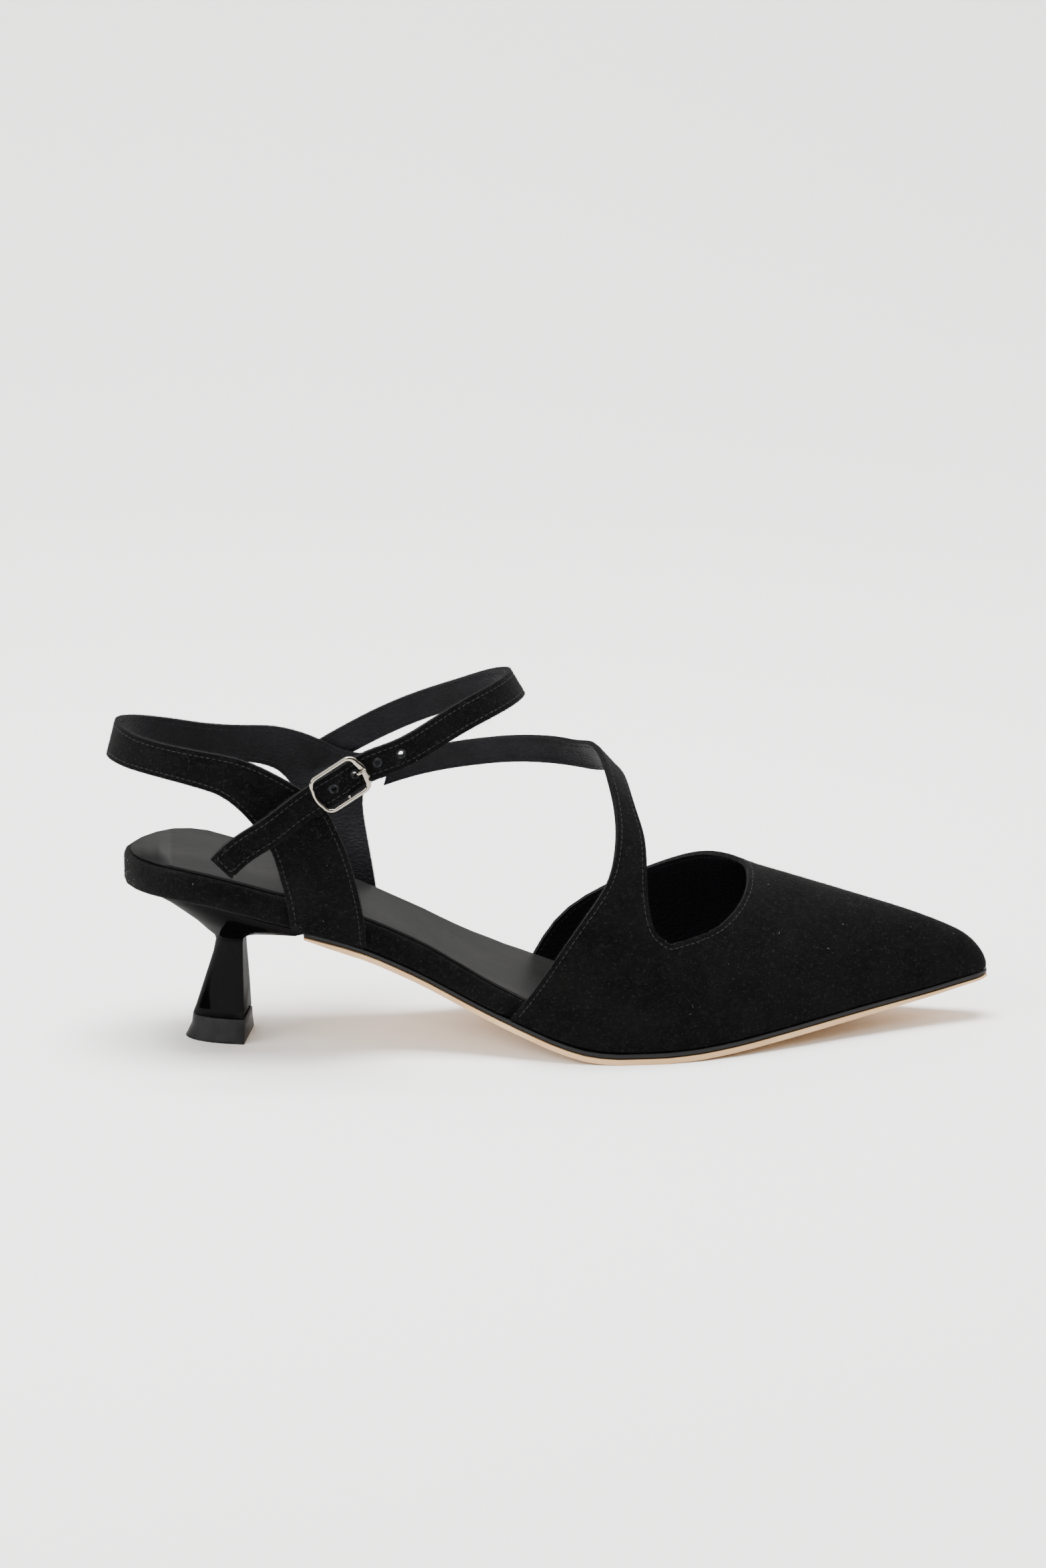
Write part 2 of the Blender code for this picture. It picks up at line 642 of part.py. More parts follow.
def make_vamp(looks, home):
    """The toe, its wings and the strap that crosses the instep, cut from one leather."""
    lower = [STRAP_ROOT * k / WING_STEPS for k in range(WING_STEPS + 1)]
    throat = [STRAP_ROOT + (180 - STRAP_ROOT) * k / THROAT_STEPS for k in range(THROAT_STEPS + 1)]
    points, faces = [], []

    def row(turn, start, stop, count):
        places = []
        for k in range(count + 1):
            along = start + (stop - start) * (math.sin(math.pi * k / count / 2) if stop == 1.0 else k / count)
            points.append(last_point(along, turn) + Vector((0, 0, GAP)))
            places.append(len(points) - 1)
        return places

    def quilt(rows):
        for here, after in zip(rows, rows[1:]):
            for j in range(len(here) - 1):
                faces.append((here[j], here[j + 1], after[j + 1], after[j]))

    root = CROSS_ROWS[0][3]
    quilt([row(turn, read(VAMP_REAR_COLUMNS, VAMP_REAR_ROWS, "along", turn), root, VAMP_REAR_STEPS)
           for turn in lower])
    quilt([row(turn, root, 1.0, VAMP_FRONT_STEPS) for turn in lower])
    quilt([row(turn, read(THROAT_COLUMNS, THROAT_ROWS, "along", turn), 1.0, VAMP_FRONT_STEPS)
           for turn in throat])
    strap = []
    last_step = CROSS_ROWS[-1][0]
    for k in range(CROSS_STEPS + 1):
        at = last_step * k / CROSS_STEPS
        ends = [read(CROSS_COLUMNS, CROSS_ROWS, name, at) for name in CROSS_COLUMNS[1:]]
        places = []
        for j in range(VAMP_REAR_STEPS + 1):
            share = j / VAMP_REAR_STEPS
            along = ends[0] + (ends[2] - ends[0]) * share
            turn = ends[1] + (ends[3] - ends[1]) * share
            points.append(last_point(along, turn) + Vector((0, 0, GAP)))
            places.append(len(points) - 1)
        strap.append(places)
    quilt(strap)
    made = mesh_object("upper_vamp", points, faces, looks, home)
    return thicken(made, WALL, lambda at: at - Vector((at.x / 2, 0, 0)))


def clear_of_shoe(point, side):
    """Hold a sling point outside the footbed's edge low down, and outside the crossing strap further on."""
    along = along_at(point.x)
    if along > 0 and point.z < footbed_top(along) + LOW_CLEARANCE:
        limit = edge(along, side) + side * (SLING_WALL + GAP)
        point.y = max(point.y, limit) if side > 0 else min(point.y, limit)
        point.z = max(point.z, feather_height(along) + GAP)
    if side > 0 and along > LAST_ROWS[0][0] and point.z > footbed_top(along) + EAR_CLEARANCE:
        point.y = max(point.y, last_side(point.x, point.z, side) + SLING_WALL + 2 * GAP)
    return point


def from_collar(at):
    """The way out from the middle of the collar, for the bands that go round the foot."""
    return Vector((at.x - COLLAR_REACH / 4, 2 * at.y, 0))


def make_sling(looks, home):
    """Both quarters and the band behind the heel, with the ear that carries the inner strap ends."""
    rows = []
    last_step = SLING_ROWS[-1][0]
    scale = Vector((COLLAR_REACH, COLLAR_SPAN, COLLAR_HEIGHT))
    back_step = max(named(SLING_COLUMNS, SLING_ROWS), key=lambda row: -row["top_x"])["step"]
    for k in range(2 * last_step + 1):
        at = k / 2
        ends = [read(SLING_COLUMNS, SLING_ROWS, name, at) for name in SLING_COLUMNS[1:]]
        top, low = Vector(ends[:3]) * scale, Vector(ends[3:]) * scale
        side = -1 if at < back_step else 1
        rows.append([clear_of_shoe(top.lerp(low, j / SLING_ACROSS), side) for j in range(SLING_ACROSS + 1)])
    return sheet("upper_sling", rows, SLING_WALL, looks, home, from_collar)


def ankle_route():
    """Samples of the ankle strap's middle line, each with its outward and upward directions."""
    scale = (COLLAR_REACH, COLLAR_SPAN, COLLAR_HEIGHT, 1.0)
    rows = [[value * size for value, size in zip(row.values(), scale)] for row in named(ANKLE_COLUMNS, ANKLE_ROWS)]
    samples, knots = spline(rows, STRAP_SPACING)
    route = []
    for k, sample in enumerate(samples):
        before, after = samples[max(k - 1, 0)], samples[min(k + 1, len(samples) - 1)]
        tangent = Vector(after[:3] - before[:3]).normalized()
        outward = tangent.cross(Vector((0, 0, 1))).normalized()
        if outward.dot(from_collar(Vector(sample[:3]))) < 0:
            outward = -outward
        lean = math.radians(sample[3])
        outward = outward * math.cos(lean) + Vector((0, 0, math.sin(lean)))
        outward = (outward - tangent * outward.dot(tangent)).normalized()
        upward = outward.cross(tangent)
        if upward.z < 0:
            upward = -upward
        route.append((Vector(sample[:3]), tangent, outward, upward))
    return route, knots


def buckle_frame_axes():
    """Middle of the bar, with the directions along the strap to the toe, across it and outwards."""
    scale = Vector((COLLAR_REACH, COLLAR_SPAN, COLLAR_HEIGHT))
    rows = [Vector(row[:3]) * scale for row in ANKLE_ROWS[BUCKLE_ROW - 1:BUCKLE_ROW + 2]]
    forward = rows[0] - rows[2]
    forward.y = 0
    forward.normalize()
    outward = Vector((0, -1, 0))
    across = forward.cross(outward)
    if across.z < 0:
        across = -across
    depth = BAR_WIRE / 2 + PRONG_WIRE + 2.5 * GAP + STRAP_THICKNESS / 2
    return rows[1] - outward * depth, forward, across, outward


def make_ankle_strap(looks, home, tools):
    route, knots = ankle_route()
    rows = []
    for place, tangent, outward, upward in route:
        middle = place + outward * STRAP_THICKNESS / 2
        rows.append([middle + upward * STRAP_WIDTH * (j / STRAP_ACROSS - 0.5) for j in range(STRAP_ACROSS + 1)])
    made = sheet("ankle_strap", rows, STRAP_THICKNESS, looks, home, from_collar)
    spacing = knots[-1] / (len(route) - 1)
    bar = knots[BUCKLE_ROW]
    prong_hole = bar - PRONG_REACH
    for k in range(HOLES):
        at = (prong_hole - (k - 1) * HOLE_PITCH) / spacing
        low = int(at)
        place = route[low][0].lerp(route[low + 1][0], at - low)
        outward = route[low][2]
        bpy.ops.mesh.primitive_cylinder_add(vertices=PUNCH_SIDES, radius=HOLE_DIAMETER / 2,
                                            depth=4 * STRAP_THICKNESS)
        punch = put_away(f"punch_{k}", tools)
        punch.matrix_world = Matrix.Translation(place) @ outward.to_track_quat("Z", "Y").to_matrix().to_4x4()
        cut(made, punch)
    return made


def tube(name, path, radii, looks, home, sides, closed=False):
    """A round or oval wire along a path; each radius pair is across the path's plane and in it."""
    rings = []
    count = len(path)
    for k, place in enumerate(path):
        before = path[(k - 1) % count] if closed or k else place
        after = path[(k + 1) % count] if closed or k < count - 1 else place
        tangent = (after - before).normalized()
        side = tangent.cross(radii[k][2]).normalized()
        up = side.cross(tangent)
        ring = []
        for j in range(sides):
            angle = 2 * math.pi * j / sides
            ring.append(place + side * radii[k][0] * math.cos(angle) + up * radii[k][1] * math.sin(angle))
        rings.append(ring)
    return loft(name, rings, looks, home, closed)


def frame_outline():
    """A rounded oblong: places along the strap and across it, with how far each is into the toe-side end."""
    half_long = (BUCKLE_LENGTH - BUCKLE_WIRE) / 2
    half_wide = (BUCKLE_WIDTH - BUCKLE_WIRE) / 2
    line = []
    for end, side in ((1, 1), (-1, 1), (-1, -1), (1, -1)):
        corner = []
        for k in range(CORNER_STEPS + 1):
            angle = math.pi / 2 * k / CORNER_STEPS
            u = half_long - BUCKLE_BOW - BUCKLE_CORNER * (1 - math.cos(angle))
            corner.append((end * u, side * (half_wide - BUCKLE_CORNER * (1 - math.sin(angle)))))
        line += corner if end == side else corner[::-1]
        after = side if end != side else -side
        if end == side:
            straight = half_long - BUCKLE_BOW - BUCKLE_CORNER
            line += [(end * straight * (1 - 2 * k / RAIL_STEPS), side * half_wide)
                     for k in range(1, RAIL_STEPS)]
        else:
            wide = half_wide - BUCKLE_CORNER
            for k in range(1, RAIL_STEPS):
                share = 1 - 2 * k / RAIL_STEPS
                bow = BUCKLE_BOW * (1 - share * share)
                line.append((end * (half_long - BUCKLE_BOW + bow), after * wide * share))
    return line


def make_buckle_frame(looks, home, tools):
    """A rounded frame over the strap, wider at its toe-side end, on a bar bent down under the strap."""
    centre, forward, across, outward = buckle_frame_axes()
    lifted = outward * BUCKLE_RISE
    path = [centre + forward * u + across * w + lifted for u, w in frame_outline()]
    radii = []
    for u, _ in frame_outline():
        face = min(max(2 * u / (BUCKLE_LENGTH - BUCKLE_WIRE), 0.0), 1.0) ** 6
        radii.append((BUCKLE_WIRE / 2 + (BUCKLE_FACE - BUCKLE_WIRE) / 2 * face, BUCKLE_WIRE / 2, outward))
    made = tube("buckle_frame", path, radii, looks, home, sides=WIRE_SIDES, closed=True)
    rail = (BUCKLE_WIDTH - BUCKLE_WIRE) / 2
    bend = rail - BAR_WIRE / 4
    half = [(rail, BUCKLE_RISE), (rail, BUCKLE_RISE / 2), (bend, BAR_WIRE / 2), (bend - BAR_WIRE, 0)]
    bar_path = [centre + across * w + outward * v for w, v in half]
    bar_path += [centre - across * w + outward * v for w, v in reversed(half)]
    bar = tube("bar", bar_path, [(BAR_WIRE / 2, BAR_WIRE / 2, forward)] * len(bar_path), None, tools,
               sides=WIRE_SIDES)
    cut(made, bar, "UNION")
    return made


def make_prong(looks, home):
    """The prong hooks round the bar, comes up through a hole and rests on the toe-side end."""
    centre, forward, across, outward = buckle_frame_axes()
    hook = BAR_WIRE / 2 + GAP + PRONG_WIRE / 2
    rest = BUCKLE_RISE + BUCKLE_WIRE / 2 + GAP + PRONG_WIRE / 2
    end = BUCKLE_LENGTH / 2
    shape = [(hook * math.cos(angle), hook * math.sin(angle))
             for angle in np.linspace(math.radians(-40), math.radians(-260), 10)]
    shape += [(0.34 * PRONG_REACH, 0.75 * hook), (0.62 * PRONG_REACH, 0.50 * hook), (0.86 * PRONG_REACH, 0.62 * hook),
              (0.98 * PRONG_REACH, 1.4 * hook), (1.04 * PRONG_REACH, 0.68 * rest), (1.12 * PRONG_REACH, 0.90 * rest),
              (0.78 * end, rest), (0.88 * end, rest), (0.97 * end, rest), (1.03 * end, 0.99 * rest)]
    path = [centre + forward * u + outward * v for u, v in shape]
    widths = [PRONG_WIRE / 2] * (len(path) - 1) + [PRONG_WIRE / 3]
    return tube("buckle_prong", path, [(width, width, across) for width in widths], looks, home, sides=WIRE_SIDES)


def make_tab(looks, home, tools):
    """The short tab folded round the bar and stitched on the outer quarter."""
    centre, forward, across, outward = buckle_frame_axes()
    inner = BAR_WIRE / 2 + GAP
    middle = inner + TAB_WALL / 2
    shape = [(middle * math.cos(angle), middle * math.sin(angle))
             for angle in np.linspace(math.radians(150), math.radians(-90), 14)]
    shape += [(-0.30 * TAB_LENGTH, -1.05 * middle), (-TAB_LENGTH, -1.12 * middle)]
    rings = []
    for k, (u, v) in enumerate(shape):
        before, after = shape[max(k - 1, 0)], shape[min(k + 1, len(shape) - 1)]
        run = Vector((after[0] - before[0], after[1] - before[1])).normalized()
        ring = []
        for wide, thick in ((-1, -1), (1, -1), (1, 1), (-1, 1)):
            a = u - run.y * thick * TAB_WALL / 2
            b = v + run.x * thick * TAB_WALL / 2
            ring.append(centre + forward * a + outward * b + across * wide * TAB_WIDTH / 2)
        rings.append(ring)
    made = loft("buckle_tab", rings, looks, home)
    bpy.ops.mesh.primitive_cube_add(size=1)
    slot = put_away("slot", tools)
    turn = Matrix((forward, across, outward)).transposed().to_4x4()
    size = Matrix.Diagonal((SLOT_REACH, TAB_SLOT, SLOT_REACH, 1))
    slot.matrix_world = Matrix.Translation(centre) @ turn @ size
    cut(made, slot)
    return made


for old in list(bpy.data.objects):
    bpy.data.objects.remove(old)

SHOE = collection("slingback_shoe")
TOOLS = collection("cutters")

SUEDE = material("black_suede", (0.012, 0.012, 0.013), 0.95)
SOCK_LEATHER = material("charcoal_leather", (0.035, 0.035, 0.038), 0.6)
GLOSS = material("gloss_black", (0.006, 0.006, 0.007), 0.08)
RUBBER = material("dark_rubber", (0.05, 0.05, 0.052), 0.7)
TAN = material("tan_leather", (0.66, 0.45, 0.27), 0.5)
NICKEL = material("pale_nickel", (0.83, 0.79, 0.72), 0.15, 1.0)

make_outsole(TAN, SHOE)
make_rand(GLOSS, SHOE)
make_footbed(SUEDE, SHOE)
make_sock(SOCK_LEATHER, SHOE)
make_heel(GLOSS, SHOE)
make_heel_tip(RUBBER, SHOE)
make_vamp(SUEDE, SHOE)
make_sling(SUEDE, SHOE)
make_ankle_strap(SUEDE, SHOE, TOOLS)
make_tab(SUEDE, SHOE, TOOLS)
make_buckle_frame(NICKEL, SHOE, TOOLS)
make_prong(NICKEL, SHOE)
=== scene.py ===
"""Looks for a pointed slingback shoe: black suede, charcoal lining, gloss heel, nickel buckle, tan sole.

Every leather piece is a merged copy of its CAD node, rounded once and sorted into its outer side, its lining
and its cut edge. Stitches and nap are grown on those sides by node trees.
"""
import math

import bmesh
import bpy
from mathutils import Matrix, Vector
from mathutils.bvhtree import BVHTree
from mathutils.kdtree import KDTree


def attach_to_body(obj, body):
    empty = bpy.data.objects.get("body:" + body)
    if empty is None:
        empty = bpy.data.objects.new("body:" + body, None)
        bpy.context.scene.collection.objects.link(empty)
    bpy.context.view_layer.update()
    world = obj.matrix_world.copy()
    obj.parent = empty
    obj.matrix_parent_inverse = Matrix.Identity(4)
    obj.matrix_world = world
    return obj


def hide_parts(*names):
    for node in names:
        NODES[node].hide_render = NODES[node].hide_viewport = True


MM = 0.001
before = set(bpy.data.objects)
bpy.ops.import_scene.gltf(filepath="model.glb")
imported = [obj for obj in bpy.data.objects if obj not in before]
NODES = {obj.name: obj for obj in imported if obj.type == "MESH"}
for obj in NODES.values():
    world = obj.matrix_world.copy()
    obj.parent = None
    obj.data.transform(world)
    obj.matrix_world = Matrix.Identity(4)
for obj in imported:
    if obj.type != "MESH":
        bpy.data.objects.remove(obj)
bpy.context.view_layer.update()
MERGE_DISTANCE = 0.004 * MM
SHARP = math.radians(42)
QUAD_SHAPE = math.radians(60)
LEATHER_FLAT = math.radians(30)
METAL_FLAT = math.radians(15)

# Stitching
STITCH_PITCH = 1.8 * MM
STITCH_LENGTH = 1.4 * MM
STITCH_WIDTH = 0.34 * MM
STITCH_HEIGHT = 0.28 * MM
SEAM_MARGIN = 1.4 * MM
LINING_MARGIN = 1.4 * MM
SEAM_STEP = 0.5 * MM
SEAM_CLEAR = 0.93
SEAM_LIFT = 0.02 * MM
LONGEST_STEP = 6 * SEAM_STEP
SHORTEST_STEP = 0.4 * SEAM_STEP
FEWEST_POINTS = 7
STITCH_SPREAD = (0.86, 1.08)
STITCH_SEED = 3
BEAD_SEGMENTS = 8
BEAD_RINGS = 6
SOLE_MARGIN = 3.0 * MM
HOLE_BORDER = 15 * MM

# Where the leather's outer side faces: away from a line in the toe, or from the collar's middle
TOE_LINE_SHARE = 0.7
TOE_LINE_HEIGHT = 10 * MM
COLLAR_MIDDLE = 30 * MM
SLING_WIDENING = 3
STRAP_WIDENING = 2

# Buckle, with the sizes of its solid
BAR_MIDDLE = Vector((36.375, -33.138, 87.4)) * MM
STRAP_RUN = Vector((13.375, 0.0, 8.7)).normalized()
STRAP_OUT = Vector((0.0, -1.0, 0.0))
FRAME_LENGTH = 17.6 * MM
FRAME_WIDTH = 12.4 * MM
FRAME_CORNER = 2.6 * MM
FRAME_BOW = 0.6 * MM
FRAME_RISE = 4.0 * MM
FRAME_WIRE = 1.2 * MM
FRAME_FACE = 2.2 * MM
BAR_WIRE = 1.0 * MM
BAR_LEG = 0.6 * MM
FRAME_SIDES = 20
BAR_SIDES = 12
CORNER_STEPS = 12
RAIL_STEPS = 10
FACE_SWELL = 6

# Front edge of the heel's seat
BREAST = 25.2 * MM
BREAST_BAND = 0.8 * MM
SOLE_END = 25.55 * MM

# Worn rings round the strap's holes
RING_INNER = 0.85 * MM
RING_OUTER = 1.5 * MM
RING_PROUD = 0.03 * MM
RING_SIDES = 40
RING_ROWS = ((0.0, -1.0), (0.15, 1.0), (0.45, 1.3), (0.8, 0.9), (1.0, -1.0))
RING_WAVE = 0.03
RING_WAVES = 5

# Nap, lint and rubbed spot of the suede
NAP_SEED = 5
NAP_TILT = 0.9
LINT_SEED = 11
LINT_TILT = 1.5
SCUFF_SEED = 4
SCUFF_TILT = 1.3
NAP_LENGTH = 0.65 * MM
NAP_WIDTH = 0.035 * MM
NAP_PER_AREA = 6000000
VAMP_NAP_SHARE = 0.6
RIM_NAP = 4.0
LINT_LENGTH = 1.1 * MM
LINT_WIDTH = 0.045 * MM
LINT_PER_AREA = 2600
FIBRE_SPREAD = (0.4, 1.0)
BOARD_SIDE = 0.7
SCUFF_REACH = -24 * MM
SCUFF_DENSITY = 260000
SCUFF_LENGTH = 0.7 * MM
SCUFF_WIDTH = 0.05 * MM

# Softened corners
SOLE_BEVEL = 0.1 * MM
RAND_BEVEL = 0.25 * MM
HEEL_BEVEL = 0.4 * MM
BEVEL_SEGMENTS = 2

# Camera: the image's long side, the lens and the view's direction
SENSOR = 36.0
LENS = 132.65
CAMERA_PLACE = (-0.0100, -1.6733, 0.5260)
CAMERA_LOOK = (0.0590, 0.9641, -0.2588)
CAMERA_RANGE = (0.05, 20.0)

# Studio: a floor that curves up into a backdrop, and a sky that is dim near the horizon
FLOOR_HALF = 4.0
FLOOR_FRONT = -3.0
FLOOR_STEP = 0.75
FLOOR_STEPS = 6
CURVE_START = 0.75
CURVE_RADIUS = 0.9
CURVE_STEPS = 18
BACKDROP_TOP = 3.5
SKY_HEIGHTS = (0.30, 0.75)
SKY_STRENGTHS = (0.05, 0.85)


class Shade:
    """A material's node tree, written with short calls."""

    def __init__(self, tree):
        self.tree = tree

    def add(self, kind, **settings):
        node = self.tree.nodes.new(kind)
        for key, value in settings.items():
            setattr(node, key, value)
        return node

    def link(self, source, target):
        self.tree.links.new(source, target)

    def mapped(self, scale):
        place = self.add("ShaderNodeTexCoord")
        mapping = self.add("ShaderNodeMapping")
        mapping.inputs["Scale"].default_value = scale
        self.link(place.outputs["Object"], mapping.inputs["Vector"])
        return mapping.outputs["Vector"]

    def noise(self, vector, scale, detail=4.0, rough=0.55):
        node = self.add("ShaderNodeTexNoise")
        node.inputs["Scale"].default_value = scale
        node.inputs["Detail"].default_value = detail
        node.inputs["Roughness"].default_value = rough
        self.link(vector, node.inputs["Vector"])
        return node.outputs["Fac"]

    def ramp(self, value, low, high, start, end):
        node = self.add("ShaderNodeMapRange")
        node.clamp = True
        for name, number in (("From Min", low), ("From Max", high), ("To Min", start), ("To Max", end)):
            node.inputs[name].default_value = number
        self.link(value, node.inputs["Value"])
        return node.outputs["Result"]

    def mix(self, factor, first, second):
        node = self.add("ShaderNodeMix", data_type="RGBA")
        for socket, value in ((node.inputs[0], factor), (node.inputs[6], first), (node.inputs[7], second)):
            if isinstance(value, bpy.types.NodeSocket):
                self.link(value, socket)
            elif isinstance(value, (int, float)):
                socket.default_value = value
            else:
                socket.default_value = (*value, 1.0)
        return node.outputs[2]

    def add_heights(self, first, second, share):
        node = self.add("ShaderNodeMath", operation="MULTIPLY_ADD")
        self.link(second, node.inputs[0])
        node.inputs[1].default_value = share
        self.link(first, node.inputs[2])
        return node.outputs[0]

    def bump(self, height, strength, distance):
        node = self.add("ShaderNodeBump")
        node.inputs["Strength"].default_value = strength
        node.inputs["Distance"].default_value = distance
        self.link(height, node.inputs["Height"])
        return node.outputs["Normal"]


def finish_material(name, **fixed):
    """A Principled material whose even values are set on the shader itself."""
    made = bpy.data.materials.new(name)
    made.use_nodes = True
    shader = made.node_tree.nodes["Principled BSDF"]
    for key, value in fixed.items():
        shader.inputs[key.replace("_", " ")].default_value = value
    return made, Shade(made.node_tree), shader


def build_grain_group():
    """Shared grain: a coarse and a fine noise, as a colour mask and a height."""
    tree = bpy.data.node_groups.new("grain", "ShaderNodeTree")
    for name, default in (("Coarse", 150.0), ("Fine", 1600.0), ("Stretch", 1.0)):
        socket = tree.interface.new_socket(name, in_out="INPUT", socket_type="NodeSocketFloat")
        socket.default_value = default
    for name in ("Patches", "Specks", "Height"):
        tree.interface.new_socket(name, in_out="OUTPUT", socket_type="NodeSocketFloat")
    shade = Shade(tree)
    given = shade.add("NodeGroupInput")
    out = shade.add("NodeGroupOutput")
    place = shade.add("ShaderNodeTexCoord")
    stretch = shade.add("ShaderNodeCombineXYZ")
    shade.link(given.outputs["Stretch"], stretch.inputs["X"])
    stretch.inputs["Y"].default_value = 1.0
    stretch.inputs["Z"].default_value = 1.0
    scaled = shade.add("ShaderNodeVectorMath", operation="MULTIPLY")
    shade.link(place.outputs["Object"], scaled.inputs[0])
    shade.link(stretch.outputs["Vector"], scaled.inputs[1])
    noises = []
    for name, detail in (("Coarse", 5.0), ("Fine", 3.0)):
        noise = shade.add("ShaderNodeTexNoise")
        noise.inputs["Detail"].default_value = detail
        shade.link(given.outputs[name], noise.inputs["Scale"])
        shade.link(scaled.outputs["Vector"], noise.inputs["Vector"])
        noises.append(noise.outputs["Fac"])
    shade.link(shade.ramp(noises[0], 0.35, 0.68, 0.0, 1.0), out.inputs["Patches"])
    shade.link(shade.ramp(noises[1], 0.60, 0.74, 0.0, 1.0), out.inputs["Specks"])
    shade.link(shade.add_heights(noises[1], noises[0], 0.5), out.inputs["Height"])
    return tree


GRAIN = build_grain_group()


def use_grain(shade, coarse, fine, stretch=1.0):
    node = shade.add("ShaderNodeGroup", node_tree=GRAIN)
    node.inputs["Coarse"].default_value = coarse
    node.inputs["Fine"].default_value = fine
    node.inputs["Stretch"].default_value = stretch
    return node.outputs


def black_suede():
    """Brushed suede: soft cloudy patches, a visible nap and a few paler fibres."""
    made, shade, shader = finish_material(
        "black_suede_nap", Roughness=0.95, Sheen_Weight=0.02, Sheen_Roughness=0.5, Specular_IOR_Level=0.06)
    grain = use_grain(shade, 90.0, 1500.0)
    brushed = shade.noise(shade.mapped((1.0, 1.0, 1.6)), 520.0, 6.0, 0.7)
    nap = shade.mix(grain["Patches"], (0.0009, 0.0009, 0.0010), (0.0028, 0.0027, 0.0027))
    raised = shade.mix(shade.ramp(brushed, 0.48, 0.72, 0.0, 1.0), nap, (0.0052, 0.0050, 0.0050))
    shade.link(shade.mix(shade.ramp(grain["Specks"], 0.0, 1.0, 0.0, 0.6), raised, (0.024, 0.023, 0.023)),
               shader.inputs["Base Color"])
    shade.link(shade.bump(shade.add_heights(brushed, grain["Height"], 0.6), 0.7, 0.45 * MM),
               shader.inputs["Normal"])
    return made


def charcoal_lining():
    """Soft lining leather with small creases that run across it."""
    made, shade, shader = finish_material("charcoal_lining", Specular_IOR_Level=0.2)
    grain = use_grain(shade, 70.0, 1300.0)
    shade.link(shade.mix(grain["Patches"], (0.0020, 0.0020, 0.0030), (0.0052, 0.0053, 0.0074)),
               shader.inputs["Base Color"])
    shade.link(shade.ramp(grain["Patches"], 0.0, 1.0, 0.66, 0.5), shader.inputs["Roughness"])
    bent = shade.add("ShaderNodeVectorMath", operation="MULTIPLY_ADD")
    drift = shade.add("ShaderNodeTexNoise")
    drift.inputs["Scale"].default_value = 260.0
    shade.link(shade.mapped((1.0, 1.0, 1.0)), drift.inputs["Vector"])
    shade.link(drift.outputs["Color"], bent.inputs[0])
    bent.inputs[1].default_value = (0.0035, 0.0035, 0.0035)
    shade.link(shade.mapped((0.75, 1.0, 1.5)), bent.inputs[2])
    creases = shade.add("ShaderNodeTexVoronoi", feature="DISTANCE_TO_EDGE")
    creases.inputs["Scale"].default_value = 620.0
    shade.link(bent.outputs["Vector"], creases.inputs["Vector"])
    folds = shade.ramp(creases.outputs["Distance"], 0.0, 0.22, 0.0, 1.0)
    shade.link(shade.bump(shade.add_heights(folds, grain["Height"], 1.6), 0.40, 0.22 * MM),
               shader.inputs["Normal"])
    return made


def cut_edge():
    made, shade, shader = finish_material("inked_edge", Roughness=0.85, Sheen_Weight=0.02, Specular_IOR_Level=0.1)
    grain = use_grain(shade, 300.0, 2200.0)
    shade.link(shade.mix(grain["Specks"], (0.0022, 0.0022, 0.0025), (0.022, 0.022, 0.024)),
               shader.inputs["Base Color"])
    shade.link(shade.bump(grain["Height"], 0.7, 0.3 * MM), shader.inputs["Normal"])
    return made


def worn_suede():
    """Rubbed, slightly pale suede."""
    made, shade, shader = finish_material("worn_suede", Roughness=0.8, Specular_IOR_Level=0.2)
    grain = use_grain(shade, 900.0, 2600.0)
    shade.link(shade.mix(grain["Patches"], (0.003, 0.0032, 0.004), (0.022, 0.025, 0.031)),
               shader.inputs["Base Color"])
    shade.link(shade.bump(grain["Height"], 0.6, 0.2 * MM), shader.inputs["Normal"])
    return made


def sock_leather():
    """Smooth insole leather with fine dashes along the foot."""
    made, shade, shader = finish_material(
        "sock_leather", Specular_IOR_Level=0.0, Coat_Weight=0.16, Coat_Roughness=0.42)
    grain = use_grain(shade, 45.0, 900.0, 0.12)
    tone = shade.mix(grain["Patches"], (0.0090, 0.0090, 0.0092), (0.0150, 0.0147, 0.0143))
    shade.link(shade.mix(grain["Specks"], tone, (0.004, 0.004, 0.004)), shader.inputs["Base Color"])
    shade.link(shade.ramp(grain["Patches"], 0.0, 1.0, 0.52, 0.66), shader.inputs["Roughness"])
    shade.link(shade.bump(grain["Height"], 0.25, 0.15 * MM), shader.inputs["Normal"])
    return made


def gloss_black():
    made, shade, shader = finish_material(
        "gloss_black_lacquer", Coat_Weight=0.08, Coat_Roughness=0.03, Specular_IOR_Level=0.0)
    grain = use_grain(shade, 30.0, 700.0)
    shade.link(shade.mix(grain["Patches"], (0.0012, 0.0012, 0.0014), (0.0022, 0.0022, 0.0024)),
               shader.inputs["Base Color"])
    shade.link(shade.ramp(grain["Patches"], 0.0, 1.0, 0.05, 0.10), shader.inputs["Roughness"])
    shade.link(shade.bump(grain["Height"], 0.02, 0.1 * MM), shader.inputs["Normal"])
    return made


def rand_black():
    made, shade, shader = finish_material(
        "rand_black", Coat_Weight=0.12, Coat_Roughness=0.3, Specular_IOR_Level=0.12)
    grain = use_grain(shade, 120.0, 1500.0, 0.3)
    shade.link(shade.mix(grain["Patches"], (0.0045, 0.0045, 0.0052), (0.0090, 0.0090, 0.0095)),
               shader.inputs["Base Color"])
    shade.link(shade.ramp(grain["Patches"], 0.0, 1.0, 0.40, 0.55), shader.inputs["Roughness"])
    shade.link(shade.bump(grain["Height"], 0.12, 0.2 * MM), shader.inputs["Normal"])
    return made


